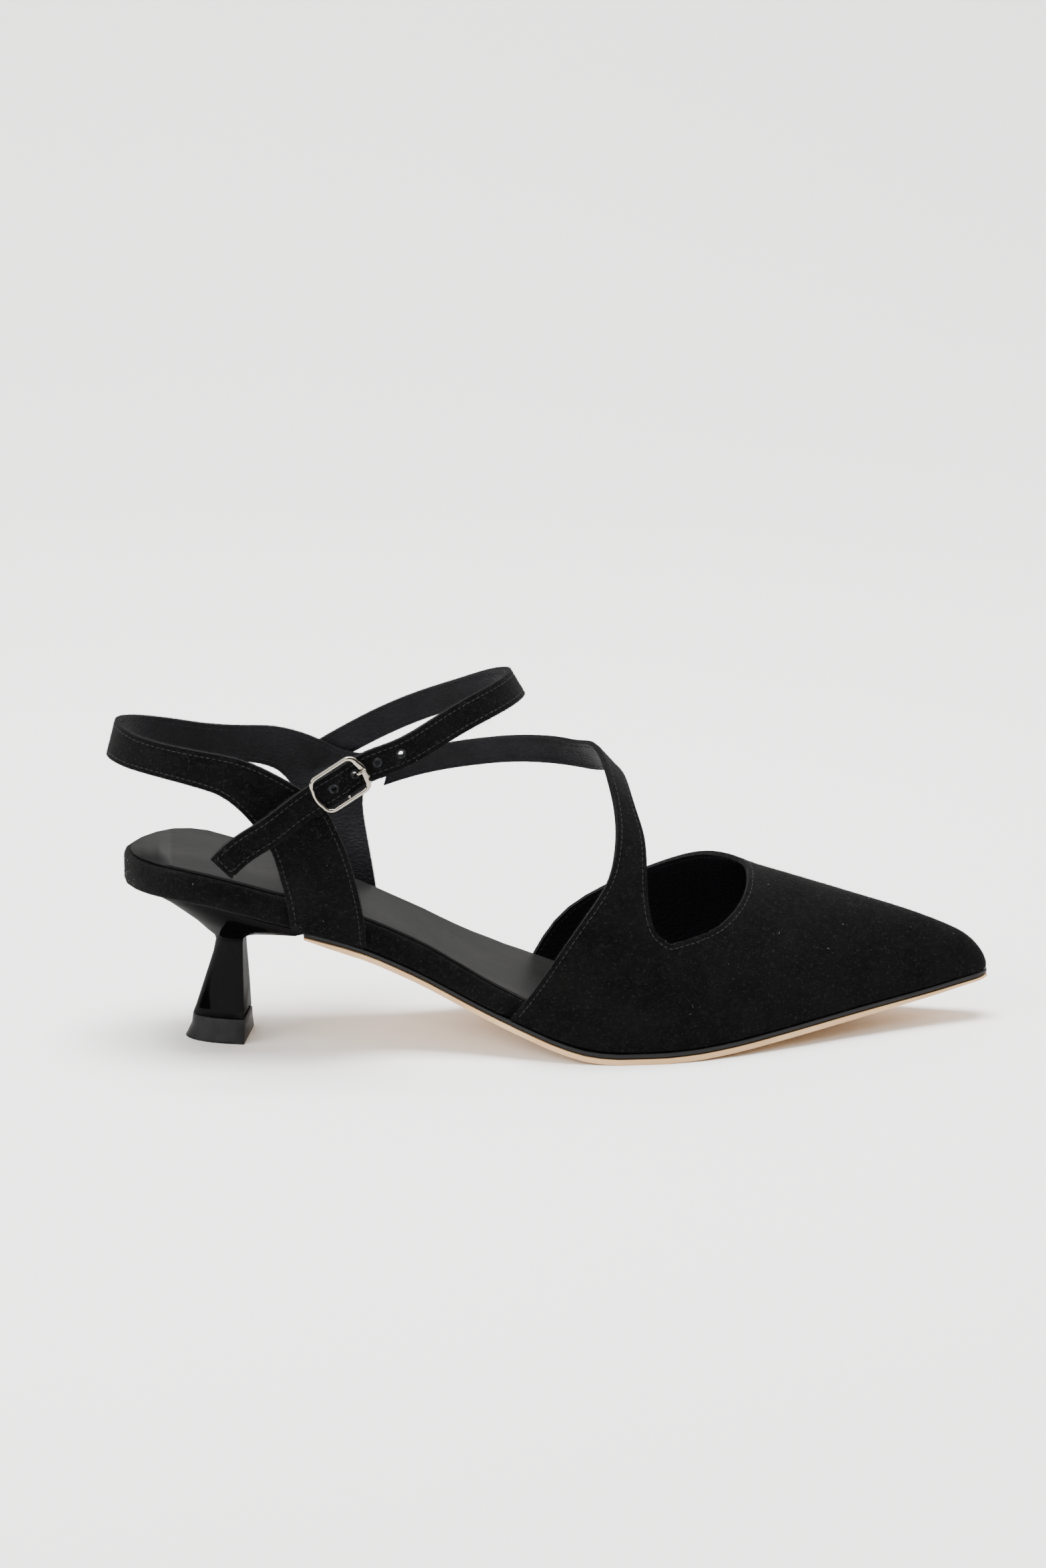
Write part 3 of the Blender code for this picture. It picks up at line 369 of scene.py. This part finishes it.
def tip_rubber():
    made, shade, shader = finish_material("tip_rubber", Specular_IOR_Level=0.15)
    grain = use_grain(shade, 200.0, 1500.0)
    shade.link(shade.mix(grain["Patches"], (0.0085, 0.0085, 0.0092), (0.0150, 0.0150, 0.0160)),
               shader.inputs["Base Color"])
    shade.link(shade.ramp(grain["Specks"], 0.0, 1.0, 0.55, 0.75), shader.inputs["Roughness"])
    shade.link(shade.bump(grain["Height"], 0.25, 0.2 * MM), shader.inputs["Normal"])
    return made


def sole_tan():
    """Pale tan sole with fine lines along its edge and small scuffs."""
    made, shade, shader = finish_material("sole_tan", Specular_IOR_Level=0.4)
    grain = use_grain(shade, 130.0, 1500.0, 0.15)
    tone = shade.mix(grain["Patches"], (0.56, 0.335, 0.155), (0.70, 0.455, 0.235))
    shade.link(shade.mix(shade.ramp(grain["Specks"], 0.0, 1.0, 0.0, 0.5), tone, (0.40, 0.23, 0.11)),
               shader.inputs["Base Color"])
    shade.link(shade.ramp(grain["Patches"], 0.0, 1.0, 0.35, 0.55), shader.inputs["Roughness"])
    shade.link(shade.bump(grain["Height"], 0.2, 0.2 * MM), shader.inputs["Normal"])
    return made


def pale_nickel():
    made, shade, shader = finish_material("pale_nickel", Metallic=1.0)
    grain = use_grain(shade, 250.0, 2600.0)
    shade.link(shade.mix(grain["Patches"], (0.25, 0.225, 0.185), (0.34, 0.31, 0.262)),
               shader.inputs["Base Color"])
    shade.link(shade.ramp(grain["Patches"], 0.0, 1.0, 0.05, 0.13), shader.inputs["Roughness"])
    shade.link(shade.bump(grain["Height"], 0.04, 0.1 * MM), shader.inputs["Normal"])
    return made


def thread(name, dark, light):
    made, shade, shader = finish_material(name, Roughness=0.8, Sheen_Weight=0.02, Specular_IOR_Level=0.15)
    twist = shade.noise(shade.mapped((1.0, 1.0, 1.0)), 1500.0, 2.0)
    shade.link(shade.mix(twist, dark, light), shader.inputs["Base Color"])
    shade.link(shade.bump(twist, 0.4, 0.1 * MM), shader.inputs["Normal"])
    return made


SUEDE = black_suede()
LINING = charcoal_lining()
EDGE = cut_edge()
SOCK = sock_leather()
GLOSS = gloss_black()
RAND = rand_black()
RUBBER = tip_rubber()
TAN = sole_tan()
NICKEL = pale_nickel()
THREAD = thread("black_thread", (0.006, 0.006, 0.008), (0.023, 0.024, 0.028))
LINING_THREAD = thread("lining_thread", (0.003, 0.003, 0.004), (0.016, 0.016, 0.021))
WORN = worn_suede()
NAP = thread("nap_fibre", (0.0012, 0.0012, 0.0013), (0.0100, 0.0098, 0.0100))
LINT = thread("lint_fibre", (0.20, 0.20, 0.20), (0.42, 0.42, 0.43))


def merged(node):
    """The node's mesh with its doubles merged, as an editable mesh."""
    mesh = bmesh.new()
    mesh.from_mesh(NODES[node].data)
    bmesh.ops.remove_doubles(mesh, verts=mesh.verts, dist=MERGE_DISTANCE)
    mesh.faces.ensure_lookup_table()
    mesh.normal_update()
    return mesh


def join_quads(mesh, flat):
    """Joins the solid's triangles into quads again where they lie flat enough."""
    bmesh.ops.join_triangles(mesh, faces=mesh.faces, angle_face_threshold=flat, angle_shape_threshold=QUAD_SHAPE)


def subdivide(made, name, levels):
    rounded = made.modifiers.new(name, "SUBSURF")
    rounded.levels = levels
    rounded.render_levels = levels


def piece_from(name, mesh, materials, node=None):
    """A visible piece from an editable mesh, in place of a node's solid if one is named."""
    data = bpy.data.meshes.new(name)
    mesh.to_mesh(data)
    for material in materials:
        data.materials.append(material)
    data.shade_smooth()
    data.set_sharp_from_angle(angle=SHARP)
    made = bpy.data.objects.new(name, data)
    bpy.context.scene.collection.objects.link(made)
    attach(made, node)
    return made


def attach(made, node=None):
    """Puts a piece on the root body and hides the node that it replaces, if one is named."""
    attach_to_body(made, "root")
    if node:
        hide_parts(node)


def fine_leather(node):
    """The node's leather with its quads joined again and rounded once, its cut edges kept crisp."""
    mesh = merged(node)
    join_quads(mesh, LEATHER_FLAT)
    crease = mesh.edges.layers.float.new("crease_edge")
    for edge in mesh.edges:
        edge[crease] = 1.0 if edge.calc_face_angle(math.pi) > SHARP else 0.0
    plain = bpy.data.meshes.new("plain")
    mesh.to_mesh(plain)
    mesh.free()
    holder = bpy.data.objects.new("plain", plain)
    bpy.context.scene.collection.objects.link(holder)
    subdivide(holder, "rounded", 1)
    fine = bmesh.new()
    fine.from_object(holder, bpy.context.evaluated_depsgraph_get())
    bpy.data.objects.remove(holder)
    bpy.data.meshes.remove(plain)
    fine.normal_update()
    return fine


def smooth_patches(mesh):
    """Groups of faces that meet smoothly, largest first."""
    seen = set()
    patches = []
    for start in mesh.faces:
        if start.index in seen:
            continue
        seen.add(start.index)
        group, waiting = [], [start]
        while waiting:
            face = waiting.pop()
            group.append(face)
            for edge in face.edges:
                if len(edge.link_faces) != 2 or edge.calc_face_angle(math.pi) > SHARP:
                    continue
                for other in edge.link_faces:
                    if other.index not in seen:
                        seen.add(other.index)
                        waiting.append(other)
        patches.append(group)
    patches.sort(key=lambda group: -sum(face.calc_area() for face in group))
    return patches


def border_loops(patch):
    """Closed rows of corners round a patch, with the way into it and its normal at each."""
    inside = {face.index for face in patch}
    follow = {}
    for face in patch:
        for loop in face.loops:
            edge = loop.edge
            if sum(other.index in inside for other in edge.link_faces) == 1:
                follow.setdefault(loop.vert, []).append((loop.link_loop_next.vert, face))
    loops = []
    while follow:
        first = next(iter(follow))
        here, row = first, []
        while here in follow:
            after, face = follow[here].pop()
            if not follow[here]:
                del follow[here]
            row.append((here.co.copy(), after.co.copy(), face.normal.copy()))
            here = after
        loops.append(row)
    return loops


def length_of(row):
    """How long a row of the border is."""
    return sum((after - before).length for before, after, _ in row)


def seam_paths(patch, margin):
    """Rows of points at an even margin inside a patch's border, lying on its surface."""
    corners, triangles = {}, []
    for face in patch:
        triangles.append([corners.setdefault(vert, len(corners)) for vert in face.verts])
    surface = BVHTree.FromPolygons([vert.co for vert in corners], triangles)
    samples = []
    loops = [row for row in border_loops(patch) if length_of(row) > HOLE_BORDER]
    for row in loops:
        line = []
        for before, after, normal in row:
            steps = max(int((after - before).length / SEAM_STEP), 1)
            inward = normal.cross((after - before).normalized())
            for k in range(steps):
                line.append((before.lerp(after, k / steps), inward))
        samples.append(line)
    border = KDTree(sum(len(line) for line in samples))
    for k, (place, _) in enumerate(point for line in samples for point in line):
        border.insert(place, k)
    border.balance()
    paths = []
    for line in samples:
        run = []
        for place, inward in line + line[:1]:
            spot, normal, _, _ = surface.find_nearest(place + inward * margin)
            clear = border.find(spot)[2] > SEAM_CLEAR * margin
            kept = clear and SEAM_ALLOWED(spot)
            if kept and (not run or (spot - run[-1][0]).length < LONGEST_STEP):
                if not run or (spot - run[-1][0]).length > SHORTEST_STEP:
                    run.append((spot, normal))
            elif not clear and run and SEAM_ALLOWED(spot):
                continue
            else:
                if len(run) >= FEWEST_POINTS:
                    paths.append(run)
                run = [(spot, normal)] if kept else []
        if len(run) >= FEWEST_POINTS:
            paths.append(run)
    return [[(spot + normal * SEAM_LIFT, normal) for spot, normal in run] for run in paths]


def tree_with(name, inputs):
    """A geometry node tree with named inputs."""
    tree = bpy.data.node_groups.new(name, "GeometryNodeTree")
    tree.interface.new_socket("Geometry", in_out="INPUT", socket_type="NodeSocketGeometry")
    for label, kind, default in inputs:
        socket = tree.interface.new_socket(label, in_out="INPUT", socket_type=kind)
        if default is not None:
            socket.default_value = default
    tree.interface.new_socket("Geometry", in_out="OUTPUT", socket_type="NodeSocketGeometry")
    return tree, Shade(tree), tree.nodes.new("NodeGroupInput"), tree.nodes.new("NodeGroupOutput")


def swept(mesh, path, sizes, facing, sides, closed):
    """An oval wire along a path, added to a mesh with both its ends closed."""
    count = len(path)
    rings = []
    for k, place in enumerate(path):
        before = path[(k - 1) % count] if closed or k else place
        after = path[(k + 1) % count] if closed or k < count - 1 else place
        tangent = (after - before).normalized()
        side = tangent.cross(facing).normalized()
        up = side.cross(tangent)
        wide, thick = sizes[k]
        rings.append([mesh.verts.new(place + side * wide * math.cos(math.tau * j / sides)
                                     + up * thick * math.sin(math.tau * j / sides)) for j in range(sides)])
    pairs = list(zip(rings, rings[1:])) + ([(rings[-1], rings[0])] if closed else [])
    for here, after in pairs:
        for j in range(sides):
            k = (j + 1) % sides
            mesh.faces.new((here[j], here[k], after[k], after[j]))
    if not closed:
        mesh.faces.new(rings[0])
        mesh.faces.new(rings[-1][::-1])


def oblong():
    """The buckle's outline along and across the strap, as rounded corners joined by rails and bowed ends."""
    long, wide = (FRAME_LENGTH - FRAME_WIRE) / 2 - FRAME_BOW, (FRAME_WIDTH - FRAME_WIRE) / 2
    line = []
    for turn in range(4):
        end, side = ((1, 1), (-1, 1), (-1, -1), (1, -1))[turn]
        for k in range(CORNER_STEPS + 1):
            angle = math.pi / 2 * (k / CORNER_STEPS + turn)
            line.append((end * (long - FRAME_CORNER) + FRAME_CORNER * math.cos(angle),
                         side * (wide - FRAME_CORNER) + FRAME_CORNER * math.sin(angle)))
        for k in range(1, RAIL_STEPS):
            share = 1 - 2 * k / RAIL_STEPS
            if end == side:
                line.append((end * (long - FRAME_CORNER) * share, side * wide))
            else:
                line.append((end * (long + FRAME_BOW * (1 - share * share)), side * (wide - FRAME_CORNER) * share))
    return line


def polished_frame():
    """The nickel frame: a rounded wire, flattened and wider at its toe-side end, on a bar bent under the strap."""
    across = STRAP_RUN.cross(STRAP_OUT).normalized()
    mesh = bmesh.new()
    path, sizes = [], []
    for u, w in oblong():
        path.append(BAR_MIDDLE + STRAP_RUN * u + across * w + STRAP_OUT * FRAME_RISE)
        face = min(max(2 * u / (FRAME_LENGTH - FRAME_WIRE), 0.0), 1.0) ** FACE_SWELL
        sizes.append((FRAME_WIRE / 2 + (FRAME_FACE - FRAME_WIRE) / 2 * face, FRAME_WIRE / 2))
    swept(mesh, path, sizes, STRAP_OUT, FRAME_SIDES, True)
    rail = (FRAME_WIDTH - FRAME_WIRE) / 2 - BAR_LEG / 4
    half = [(rail, FRAME_RISE - FRAME_WIRE / 3), (rail, FRAME_RISE / 2),
            (rail - BAR_WIRE / 4, BAR_WIRE / 2), (rail - 1.25 * BAR_WIRE, 0)]
    half += [(0.0, 0.0)] + [(-w, v) for w, v in reversed(half)]
    bar = [BAR_MIDDLE + across * w + STRAP_OUT * v for w, v in half]
    legs = [BAR_WIRE / 2 if abs(w) < rail - BAR_WIRE / 3 else BAR_LEG / 2 for w, _ in half]
    swept(mesh, bar, [(leg, leg) for leg in legs], STRAP_RUN, BAR_SIDES, False)
    bmesh.ops.recalc_face_normals(mesh, faces=mesh.faces)
    made = piece_from("nickel_frame", mesh, (NICKEL,), "buckle_frame")
    mesh.free()
    return made


def worn_rings(patch):
    """Rubbed rings on the suede round each punched hole."""
    mesh = bmesh.new()
    for row in border_loops(patch):
        if length_of(row) > HOLE_BORDER:
            continue
        middle = sum((before for before, _, _ in row), Vector()) / len(row)
        out = sum((normal for _, _, normal in row), Vector()).normalized()
        side = out.orthogonal().normalized()
        up = out.cross(side)
        rings = []
        for share, lift in RING_ROWS:
            radius = RING_INNER + (RING_OUTER - RING_INNER) * share
            ring = []
            for j in range(RING_SIDES):
                turn = math.tau * j / RING_SIDES
                wave = 1 + RING_WAVE * math.sin(RING_WAVES * math.tau * j / RING_SIDES)
                spoke = side * math.cos(turn) + up * math.sin(turn)
                ring.append(mesh.verts.new(middle + out * lift * RING_PROUD + spoke * radius * wave))
            rings.append(ring)
        for here, after in zip(rings, rings[1:]):
            for j in range(RING_SIDES):
                k = (j + 1) % RING_SIDES
                mesh.faces.new((here[j], after[j], after[k], here[k]))
    made = piece_from("worn_hole_rings", mesh, (WORN,))
    mesh.free()
    return made


def build_stitch_tree():
    """Thread stitches along a path, each lying on the leather."""
    tree, shade, given, out = tree_with("stitch_row", (
        ("Pitch", "NodeSocketFloat", STITCH_PITCH), ("Length", "NodeSocketFloat", STITCH_LENGTH),
        ("Width", "NodeSocketFloat", STITCH_WIDTH), ("Height", "NodeSocketFloat", STITCH_HEIGHT),
        ("Seed", "NodeSocketInt", STITCH_SEED), ("Thread", "NodeSocketMaterial", None)))
    curve = shade.add("GeometryNodeMeshToCurve")
    resample = shade.add("GeometryNodeResampleCurve")
    resample.mode = "LENGTH"
    shade.link(given.outputs["Geometry"], curve.inputs["Mesh"])
    shade.link(curve.outputs["Curve"], resample.inputs["Curve"])
    shade.link(given.outputs["Pitch"], resample.inputs["Length"])
    tangent = shade.add("GeometryNodeInputTangent")
    up = shade.add("GeometryNodeInputNamedAttribute", data_type="FLOAT_VECTOR")
    up.inputs["Name"].default_value = "up"
    along = shade.add("FunctionNodeAlignRotationToVector", axis="X")
    shade.link(tangent.outputs["Tangent"], along.inputs["Vector"])
    level = shade.add("FunctionNodeAlignRotationToVector", axis="Z", pivot_axis="X")
    shade.link(along.outputs["Rotation"], level.inputs["Rotation"])
    shade.link(up.outputs["Attribute"], level.inputs["Vector"])
    size = shade.add("ShaderNodeCombineXYZ")
    for axis, label in (("X", "Length"), ("Y", "Width"), ("Z", "Height")):
        shade.link(given.outputs[label], size.inputs[axis])
    vary = shade.add("FunctionNodeRandomValue", data_type="FLOAT")
    vary.inputs["Min"].default_value, vary.inputs["Max"].default_value = STITCH_SPREAD
    shade.link(given.outputs["Seed"], vary.inputs["Seed"])
    scaled = shade.add("ShaderNodeVectorMath", operation="SCALE")
    shade.link(size.outputs["Vector"], scaled.inputs[0])
    shade.link(vary.outputs["Value"], scaled.inputs["Scale"])
    bead = shade.add("GeometryNodeMeshUVSphere")
    bead.inputs["Segments"].default_value = BEAD_SEGMENTS
    bead.inputs["Rings"].default_value = BEAD_RINGS
    bead.inputs["Radius"].default_value = 0.5
    turned = shade.add("GeometryNodeTransform")
    turned.inputs["Rotation"].default_value = (0.0, math.pi / 2, 0.0)
    shade.link(bead.outputs["Mesh"], turned.inputs["Geometry"])
    copies = shade.add("GeometryNodeInstanceOnPoints")
    shade.link(resample.outputs["Curve"], copies.inputs["Points"])
    shade.link(turned.outputs["Geometry"], copies.inputs["Instance"])
    shade.link(level.outputs["Rotation"], copies.inputs["Rotation"])
    shade.link(scaled.outputs["Vector"], copies.inputs["Scale"])
    finish_tree(shade, copies.outputs["Instances"], given.outputs["Thread"], out)
    return tree


def build_fibre_tree():
    """Short fibres standing on a surface, more of them where the nap attribute is higher."""
    tree, shade, given, out = tree_with("fibres", (
        ("Density", "NodeSocketFloat", NAP_PER_AREA), ("Length", "NodeSocketFloat", NAP_LENGTH),
        ("Width", "NodeSocketFloat", NAP_WIDTH), ("Tilt", "NodeSocketFloat", NAP_TILT),
        ("Seed", "NodeSocketInt", NAP_SEED), ("Fibre", "NodeSocketMaterial", None)))
    weight = shade.add("GeometryNodeInputNamedAttribute", data_type="FLOAT")
    weight.inputs["Name"].default_value = "nap"
    density = shade.add("ShaderNodeMath", operation="MULTIPLY")
    shade.link(weight.outputs["Attribute"], density.inputs[0])
    shade.link(given.outputs["Density"], density.inputs[1])
    points = shade.add("GeometryNodeDistributePointsOnFaces")
    shade.link(given.outputs["Geometry"], points.inputs["Mesh"])
    shade.link(density.outputs[0], points.inputs["Density"])
    shade.link(given.outputs["Seed"], points.inputs["Seed"])
    fibre = shade.add("GeometryNodeMeshCone", fill_type="NONE")
    fibre.inputs["Vertices"].default_value = 3
    shade.link(given.outputs["Width"], fibre.inputs["Radius Bottom"])
    shade.link(given.outputs["Length"], fibre.inputs["Depth"])
    sway = shade.add("FunctionNodeRandomValue", data_type="FLOAT_VECTOR")
    negative = shade.add("ShaderNodeMath", operation="MULTIPLY")
    negative.inputs[1].default_value = -1.0
    shade.link(given.outputs["Tilt"], negative.inputs[0])
    shade.link(negative.outputs[0], sway.inputs["Min"])
    shade.link(given.outputs["Tilt"], sway.inputs["Max"])
    shade.link(given.outputs["Seed"], sway.inputs["Seed"])
    turn = shade.add("FunctionNodeEulerToRotation")
    shade.link(sway.outputs["Value"], turn.inputs["Euler"])
    rotate = shade.add("FunctionNodeRotateRotation", rotation_space="LOCAL")
    shade.link(points.outputs["Rotation"], rotate.inputs["Rotation"])
    shade.link(turn.outputs["Rotation"], rotate.inputs["Rotate By"])
    vary = shade.add("FunctionNodeRandomValue", data_type="FLOAT")
    vary.inputs["Min"].default_value, vary.inputs["Max"].default_value = FIBRE_SPREAD
    copies = shade.add("GeometryNodeInstanceOnPoints")
    shade.link(points.outputs["Points"], copies.inputs["Points"])
    shade.link(fibre.outputs["Mesh"], copies.inputs["Instance"])
    shade.link(rotate.outputs["Rotation"], copies.inputs["Rotation"])
    shade.link(vary.outputs["Value"], copies.inputs["Scale"])
    finish_tree(shade, copies.outputs["Instances"], given.outputs["Fibre"], out)
    return tree


def finish_tree(shade, instances, material, out):
    """Ends a tree with plain, smooth geometry in one material."""
    real = shade.add("GeometryNodeRealizeInstances")
    smooth = shade.add("GeometryNodeSetShadeSmooth")
    coat = shade.add("GeometryNodeSetMaterial")
    shade.link(instances, real.inputs["Geometry"])
    shade.link(real.outputs["Geometry"], smooth.inputs["Geometry"])
    shade.link(smooth.outputs["Geometry"], coat.inputs["Geometry"])
    shade.link(material, coat.inputs["Material"])
    shade.link(coat.outputs["Geometry"], out.inputs["Geometry"])


STITCH_TREE = build_stitch_tree()
FIBRE_TREE = build_fibre_tree()


def grow(name, data, tree, values):
    """Runs a node tree on a mesh and keeps its result as a plain piece."""
    source = bpy.data.objects.new(name + "_guide", data)
    bpy.context.scene.collection.objects.link(source)
    modifier = source.modifiers.new("grow", "NODES")
    modifier.node_group = tree
    for item in tree.interface.items_tree:
        if item.item_type == "SOCKET" and item.in_out == "INPUT" and item.name in values:
            modifier[item.identifier] = values[item.name]
    bpy.context.view_layer.update()
    depsgraph = bpy.context.evaluated_depsgraph_get()
    result = bpy.data.meshes.new_from_object(source.evaluated_get(depsgraph))
    bpy.data.objects.remove(source)
    made = bpy.data.objects.new(name, result)
    bpy.context.scene.collection.objects.link(made)
    attach(made)
    return made


def stitch(name, paths, thread_material):
    """One piece with all the stitches of a side's seams."""
    points, edges, ups = [], [], []
    for path in paths:
        start = len(points)
        points += [tuple(spot) for spot, _ in path]
        ups += [tuple(normal) for _, normal in path]
        edges += [(k, k + 1) for k in range(start, len(points) - 1)]
    if not points:
        return None
    data = bpy.data.meshes.new(name + "_path")
    data.from_pydata(points, edges, [])
    up = data.attributes.new("up", "FLOAT_VECTOR", "POINT")
    up.data.foreach_set("vector", [value for vector in ups for value in vector])
    return grow(name, data, STITCH_TREE, {"Thread": thread_material})


def beyond_rand():
    """Tells whether a point is far enough from the rand for a visible seam."""
    rand = merged("rand")
    tree = BVHTree.FromBMesh(rand)
    rand.free()
    return lambda spot: tree.find_nearest(spot)[3] > SOLE_MARGIN


SEAM_ALLOWED = beyond_rand()


def from_toe_line(at):
    """The way out of the toe at a point of the vamp."""
    return at - Vector((at.x * TOE_LINE_SHARE, 0, TOE_LINE_HEIGHT))


def from_collar(widening):
    """The way out of the collar at a point, with its place across the foot counted more."""
    return lambda at: Vector((at.x - COLLAR_MIDDLE, at.y * widening, 0))


def leather_piece(node, name, outward, holed=False):
    """A leather part with its suede side, lining and edge, its stitches and its nap."""
    mesh = fine_leather(node)
    nap = mesh.faces.layers.float.new("nap")
    mesh.faces.ensure_lookup_table()
    patches = smooth_patches(mesh)
    main = patches[:2]
    votes = [sum(face.normal.dot(outward(face.calc_center_median())) * face.calc_area() for face in patch)
             for patch in main]
    outer, inner = (main[0], main[1]) if votes[0] > votes[1] else (main[1], main[0])
    for face in mesh.faces:
        face.material_index = 2
        face[nap] = RIM_NAP
    for face in outer:
        face.material_index = 0
        face[nap] = 1.0
    for face in inner:
        face.material_index = 1
        face[nap] = 0.0
    outer_seams = seam_paths(outer, SEAM_MARGIN)
    inner_seams = seam_paths(inner, LINING_MARGIN)
    made = piece_from(name, mesh, (SUEDE, LINING, EDGE), node)
    if holed:
        worn_rings(outer)
    mesh.free()
    stitch(name + "_stitches", outer_seams, THREAD)
    stitch(name + "_lining_stitches", inner_seams, LINING_THREAD)
    brush(made, name, VAMP_NAP_SHARE if node == "upper_vamp" else 1.0)
    return made


def brush(made, name, share=1.0):
    """Raises the nap on a suede piece and drops a little lint on it."""
    fibres = {"Density": NAP_PER_AREA * share, "Length": NAP_LENGTH, "Fibre": NAP}
    grow(name + "_nap", made.data.copy(), FIBRE_TREE, fibres)
    lint = {"Density": LINT_PER_AREA, "Length": LINT_LENGTH, "Width": LINT_WIDTH, "Tilt": LINT_TILT,
            "Seed": LINT_SEED, "Fibre": LINT}
    grow(name + "_lint", made.data.copy(), FIBRE_TREE, lint)


def brushed_board():
    """The footbed's suede cover, with a rubbed spot at the back of the heel."""
    mesh = merged("footbed")
    nap = mesh.faces.layers.float.new("nap")
    for face in mesh.faces:
        face[nap] = 1.0 if abs(face.normal.z) < BOARD_SIDE else 0.0
    made = piece_from("covered_board", mesh, (SUEDE,), "footbed")
    mesh.free()
    brush(made, "covered_board")
    rubbed = bmesh.new()
    rubbed.from_mesh(made.data)
    nap = rubbed.faces.layers.float["nap"]
    away = [face for face in rubbed.faces if face[nap] == 0 or face.calc_center_median().x > SCUFF_REACH]
    bmesh.ops.delete(rubbed, geom=away, context="FACES")
    spot = bpy.data.meshes.new("spot")
    rubbed.to_mesh(spot)
    rubbed.free()
    scuff = {"Density": SCUFF_DENSITY, "Length": SCUFF_LENGTH, "Width": SCUFF_WIDTH, "Tilt": SCUFF_TILT,
             "Seed": SCUFF_SEED, "Fibre": LINT}
    grow("heel_scuff", spot, FIBRE_TREE, scuff)


def close_breast(mesh):
    """Carries the heel's front edge up to the sole's end, as the lacquered joint is."""
    for vert in mesh.verts:
        if vert.co.x > BREAST - BREAST_BAND:
            vert.co.x = SOLE_END


def refined(node, name, materials, bevel=0.0, levels=0, shape=None):
    """A node's merged copy with softened corners and, for a gloss finish, a finer surface."""
    mesh = merged(node)
    if shape:
        shape(mesh)
    if levels:
        join_quads(mesh, METAL_FLAT)
    made = piece_from(name, mesh, materials, node)
    mesh.free()
    if bevel:
        soft = made.modifiers.new("soft", "BEVEL")
        soft.width = bevel
        soft.segments = BEVEL_SEGMENTS
        soft.limit_method = "ANGLE"
        soft.angle_limit = SHARP
        soft.harden_normals = True
    if levels:
        subdivide(made, "fine", levels)
    return made


refined("outsole", "sole", (TAN,), bevel=SOLE_BEVEL)
refined("rand", "rand_strip", (RAND,), bevel=RAND_BEVEL)
brushed_board()
refined("sock", "insole", (SOCK,))
refined("heel", "lacquered_heel", (GLOSS,), bevel=HEEL_BEVEL, shape=close_breast)
refined("heel_tip", "top_piece", (RUBBER,), bevel=HEEL_BEVEL)
polished_frame()
refined("buckle_prong", "nickel_prong", (NICKEL,), levels=1)
refined("buckle_tab", "tab", (SUEDE,))

leather_piece("upper_vamp", "vamp", from_toe_line)
leather_piece("upper_sling", "sling", from_collar(SLING_WIDENING))
leather_piece("ankle_strap", "strap", from_collar(STRAP_WIDENING), holed=True)


def make_floor():
    data = bpy.data.meshes.new("floor")
    mesh = bmesh.new()
    line = [(FLOOR_FRONT + k * FLOOR_STEP, 0.0) for k in range(FLOOR_STEPS)]
    for k in range(1, CURVE_STEPS):
        angle = k / CURVE_STEPS * math.pi / 2
        line.append((CURVE_START + CURVE_RADIUS * math.sin(angle), CURVE_RADIUS * (1 - math.cos(angle))))
    line.append((CURVE_START + CURVE_RADIUS, BACKDROP_TOP))
    rows = [[mesh.verts.new((x, y, z)) for x in (-FLOOR_HALF, FLOOR_HALF)] for y, z in line]
    for here, after in zip(rows, rows[1:]):
        mesh.faces.new((here[0], here[1], after[1], after[0]))
    mesh.to_mesh(data)
    mesh.free()
    data.shade_smooth()
    made = bpy.data.objects.new("floor", data)
    bpy.context.scene.collection.objects.link(made)
    paint, shade, shader = finish_material("studio_white", Roughness=0.9, Specular_IOR_Level=0.1)
    tone = shade.noise(shade.mapped((1.0, 1.0, 1.0)), 3.0, 2.0)
    shade.link(shade.mix(tone, (0.935, 0.93, 0.92), (0.95, 0.945, 0.935)), shader.inputs["Base Color"])
    data.materials.append(paint)


def add_softbox(name, place, target, size, power, colour=(1.0, 1.0, 1.0)):
    light = bpy.data.lights.new(name, "AREA")
    light.shape = "RECTANGLE"
    light.size, light.size_y = size
    light.energy = power
    light.color = colour
    made = bpy.data.objects.new(name, light)
    made.location = place
    made.rotation_euler = (Vector(target) - Vector(place)).to_track_quat("-Z", "Y").to_euler()
    bpy.context.scene.collection.objects.link(made)


def add_world():
    world = bpy.data.worlds.new("studio")
    world.use_nodes = True
    background = world.node_tree.nodes["Background"]
    background.inputs["Color"].default_value = (1.0, 0.995, 0.985, 1.0)
    shade = Shade(world.node_tree)
    split = shade.add("ShaderNodeSeparateXYZ")
    shade.link(shade.add("ShaderNodeTexCoord").outputs["Generated"], split.inputs["Vector"])
    shade.link(shade.ramp(split.outputs["Z"], *SKY_HEIGHTS, *SKY_STRENGTHS), background.inputs["Strength"])
    bpy.context.scene.world = world


def add_camera():
    camera = bpy.data.cameras.new("photo_camera")
    camera.sensor_width = SENSOR
    camera.lens = LENS
    camera.clip_start, camera.clip_end = CAMERA_RANGE
    made = bpy.data.objects.new("photo_camera", camera)
    made.location = CAMERA_PLACE
    made.rotation_euler = Vector(CAMERA_LOOK).to_track_quat("-Z", "Y").to_euler()
    bpy.context.scene.collection.objects.link(made)
    bpy.context.scene.camera = made


make_floor()
add_world()
add_softbox("overhead", place=(0.10, 0.05, 1.5), target=(0.10, 0.0, 0.0), size=(1.1, 0.7), power=58)
add_softbox("window_left", place=(-1.3, -0.5, 0.9), target=(0.10, 0.0, 0.05), size=(1.3, 1.1), power=24,
            colour=(1.0, 0.99, 0.97))
add_softbox("front_strip", place=(-0.5, -1.5, 1.1), target=(0.10, 0.0, 0.05), size=(0.5, 0.5), power=9)
add_softbox("backdrop_wash", place=(0.0, 0.6, 2.2), target=(0.0, 1.7, 0.8), size=(2.0, 0.6), power=26,
            colour=(1.0, 0.995, 0.975))
add_camera()
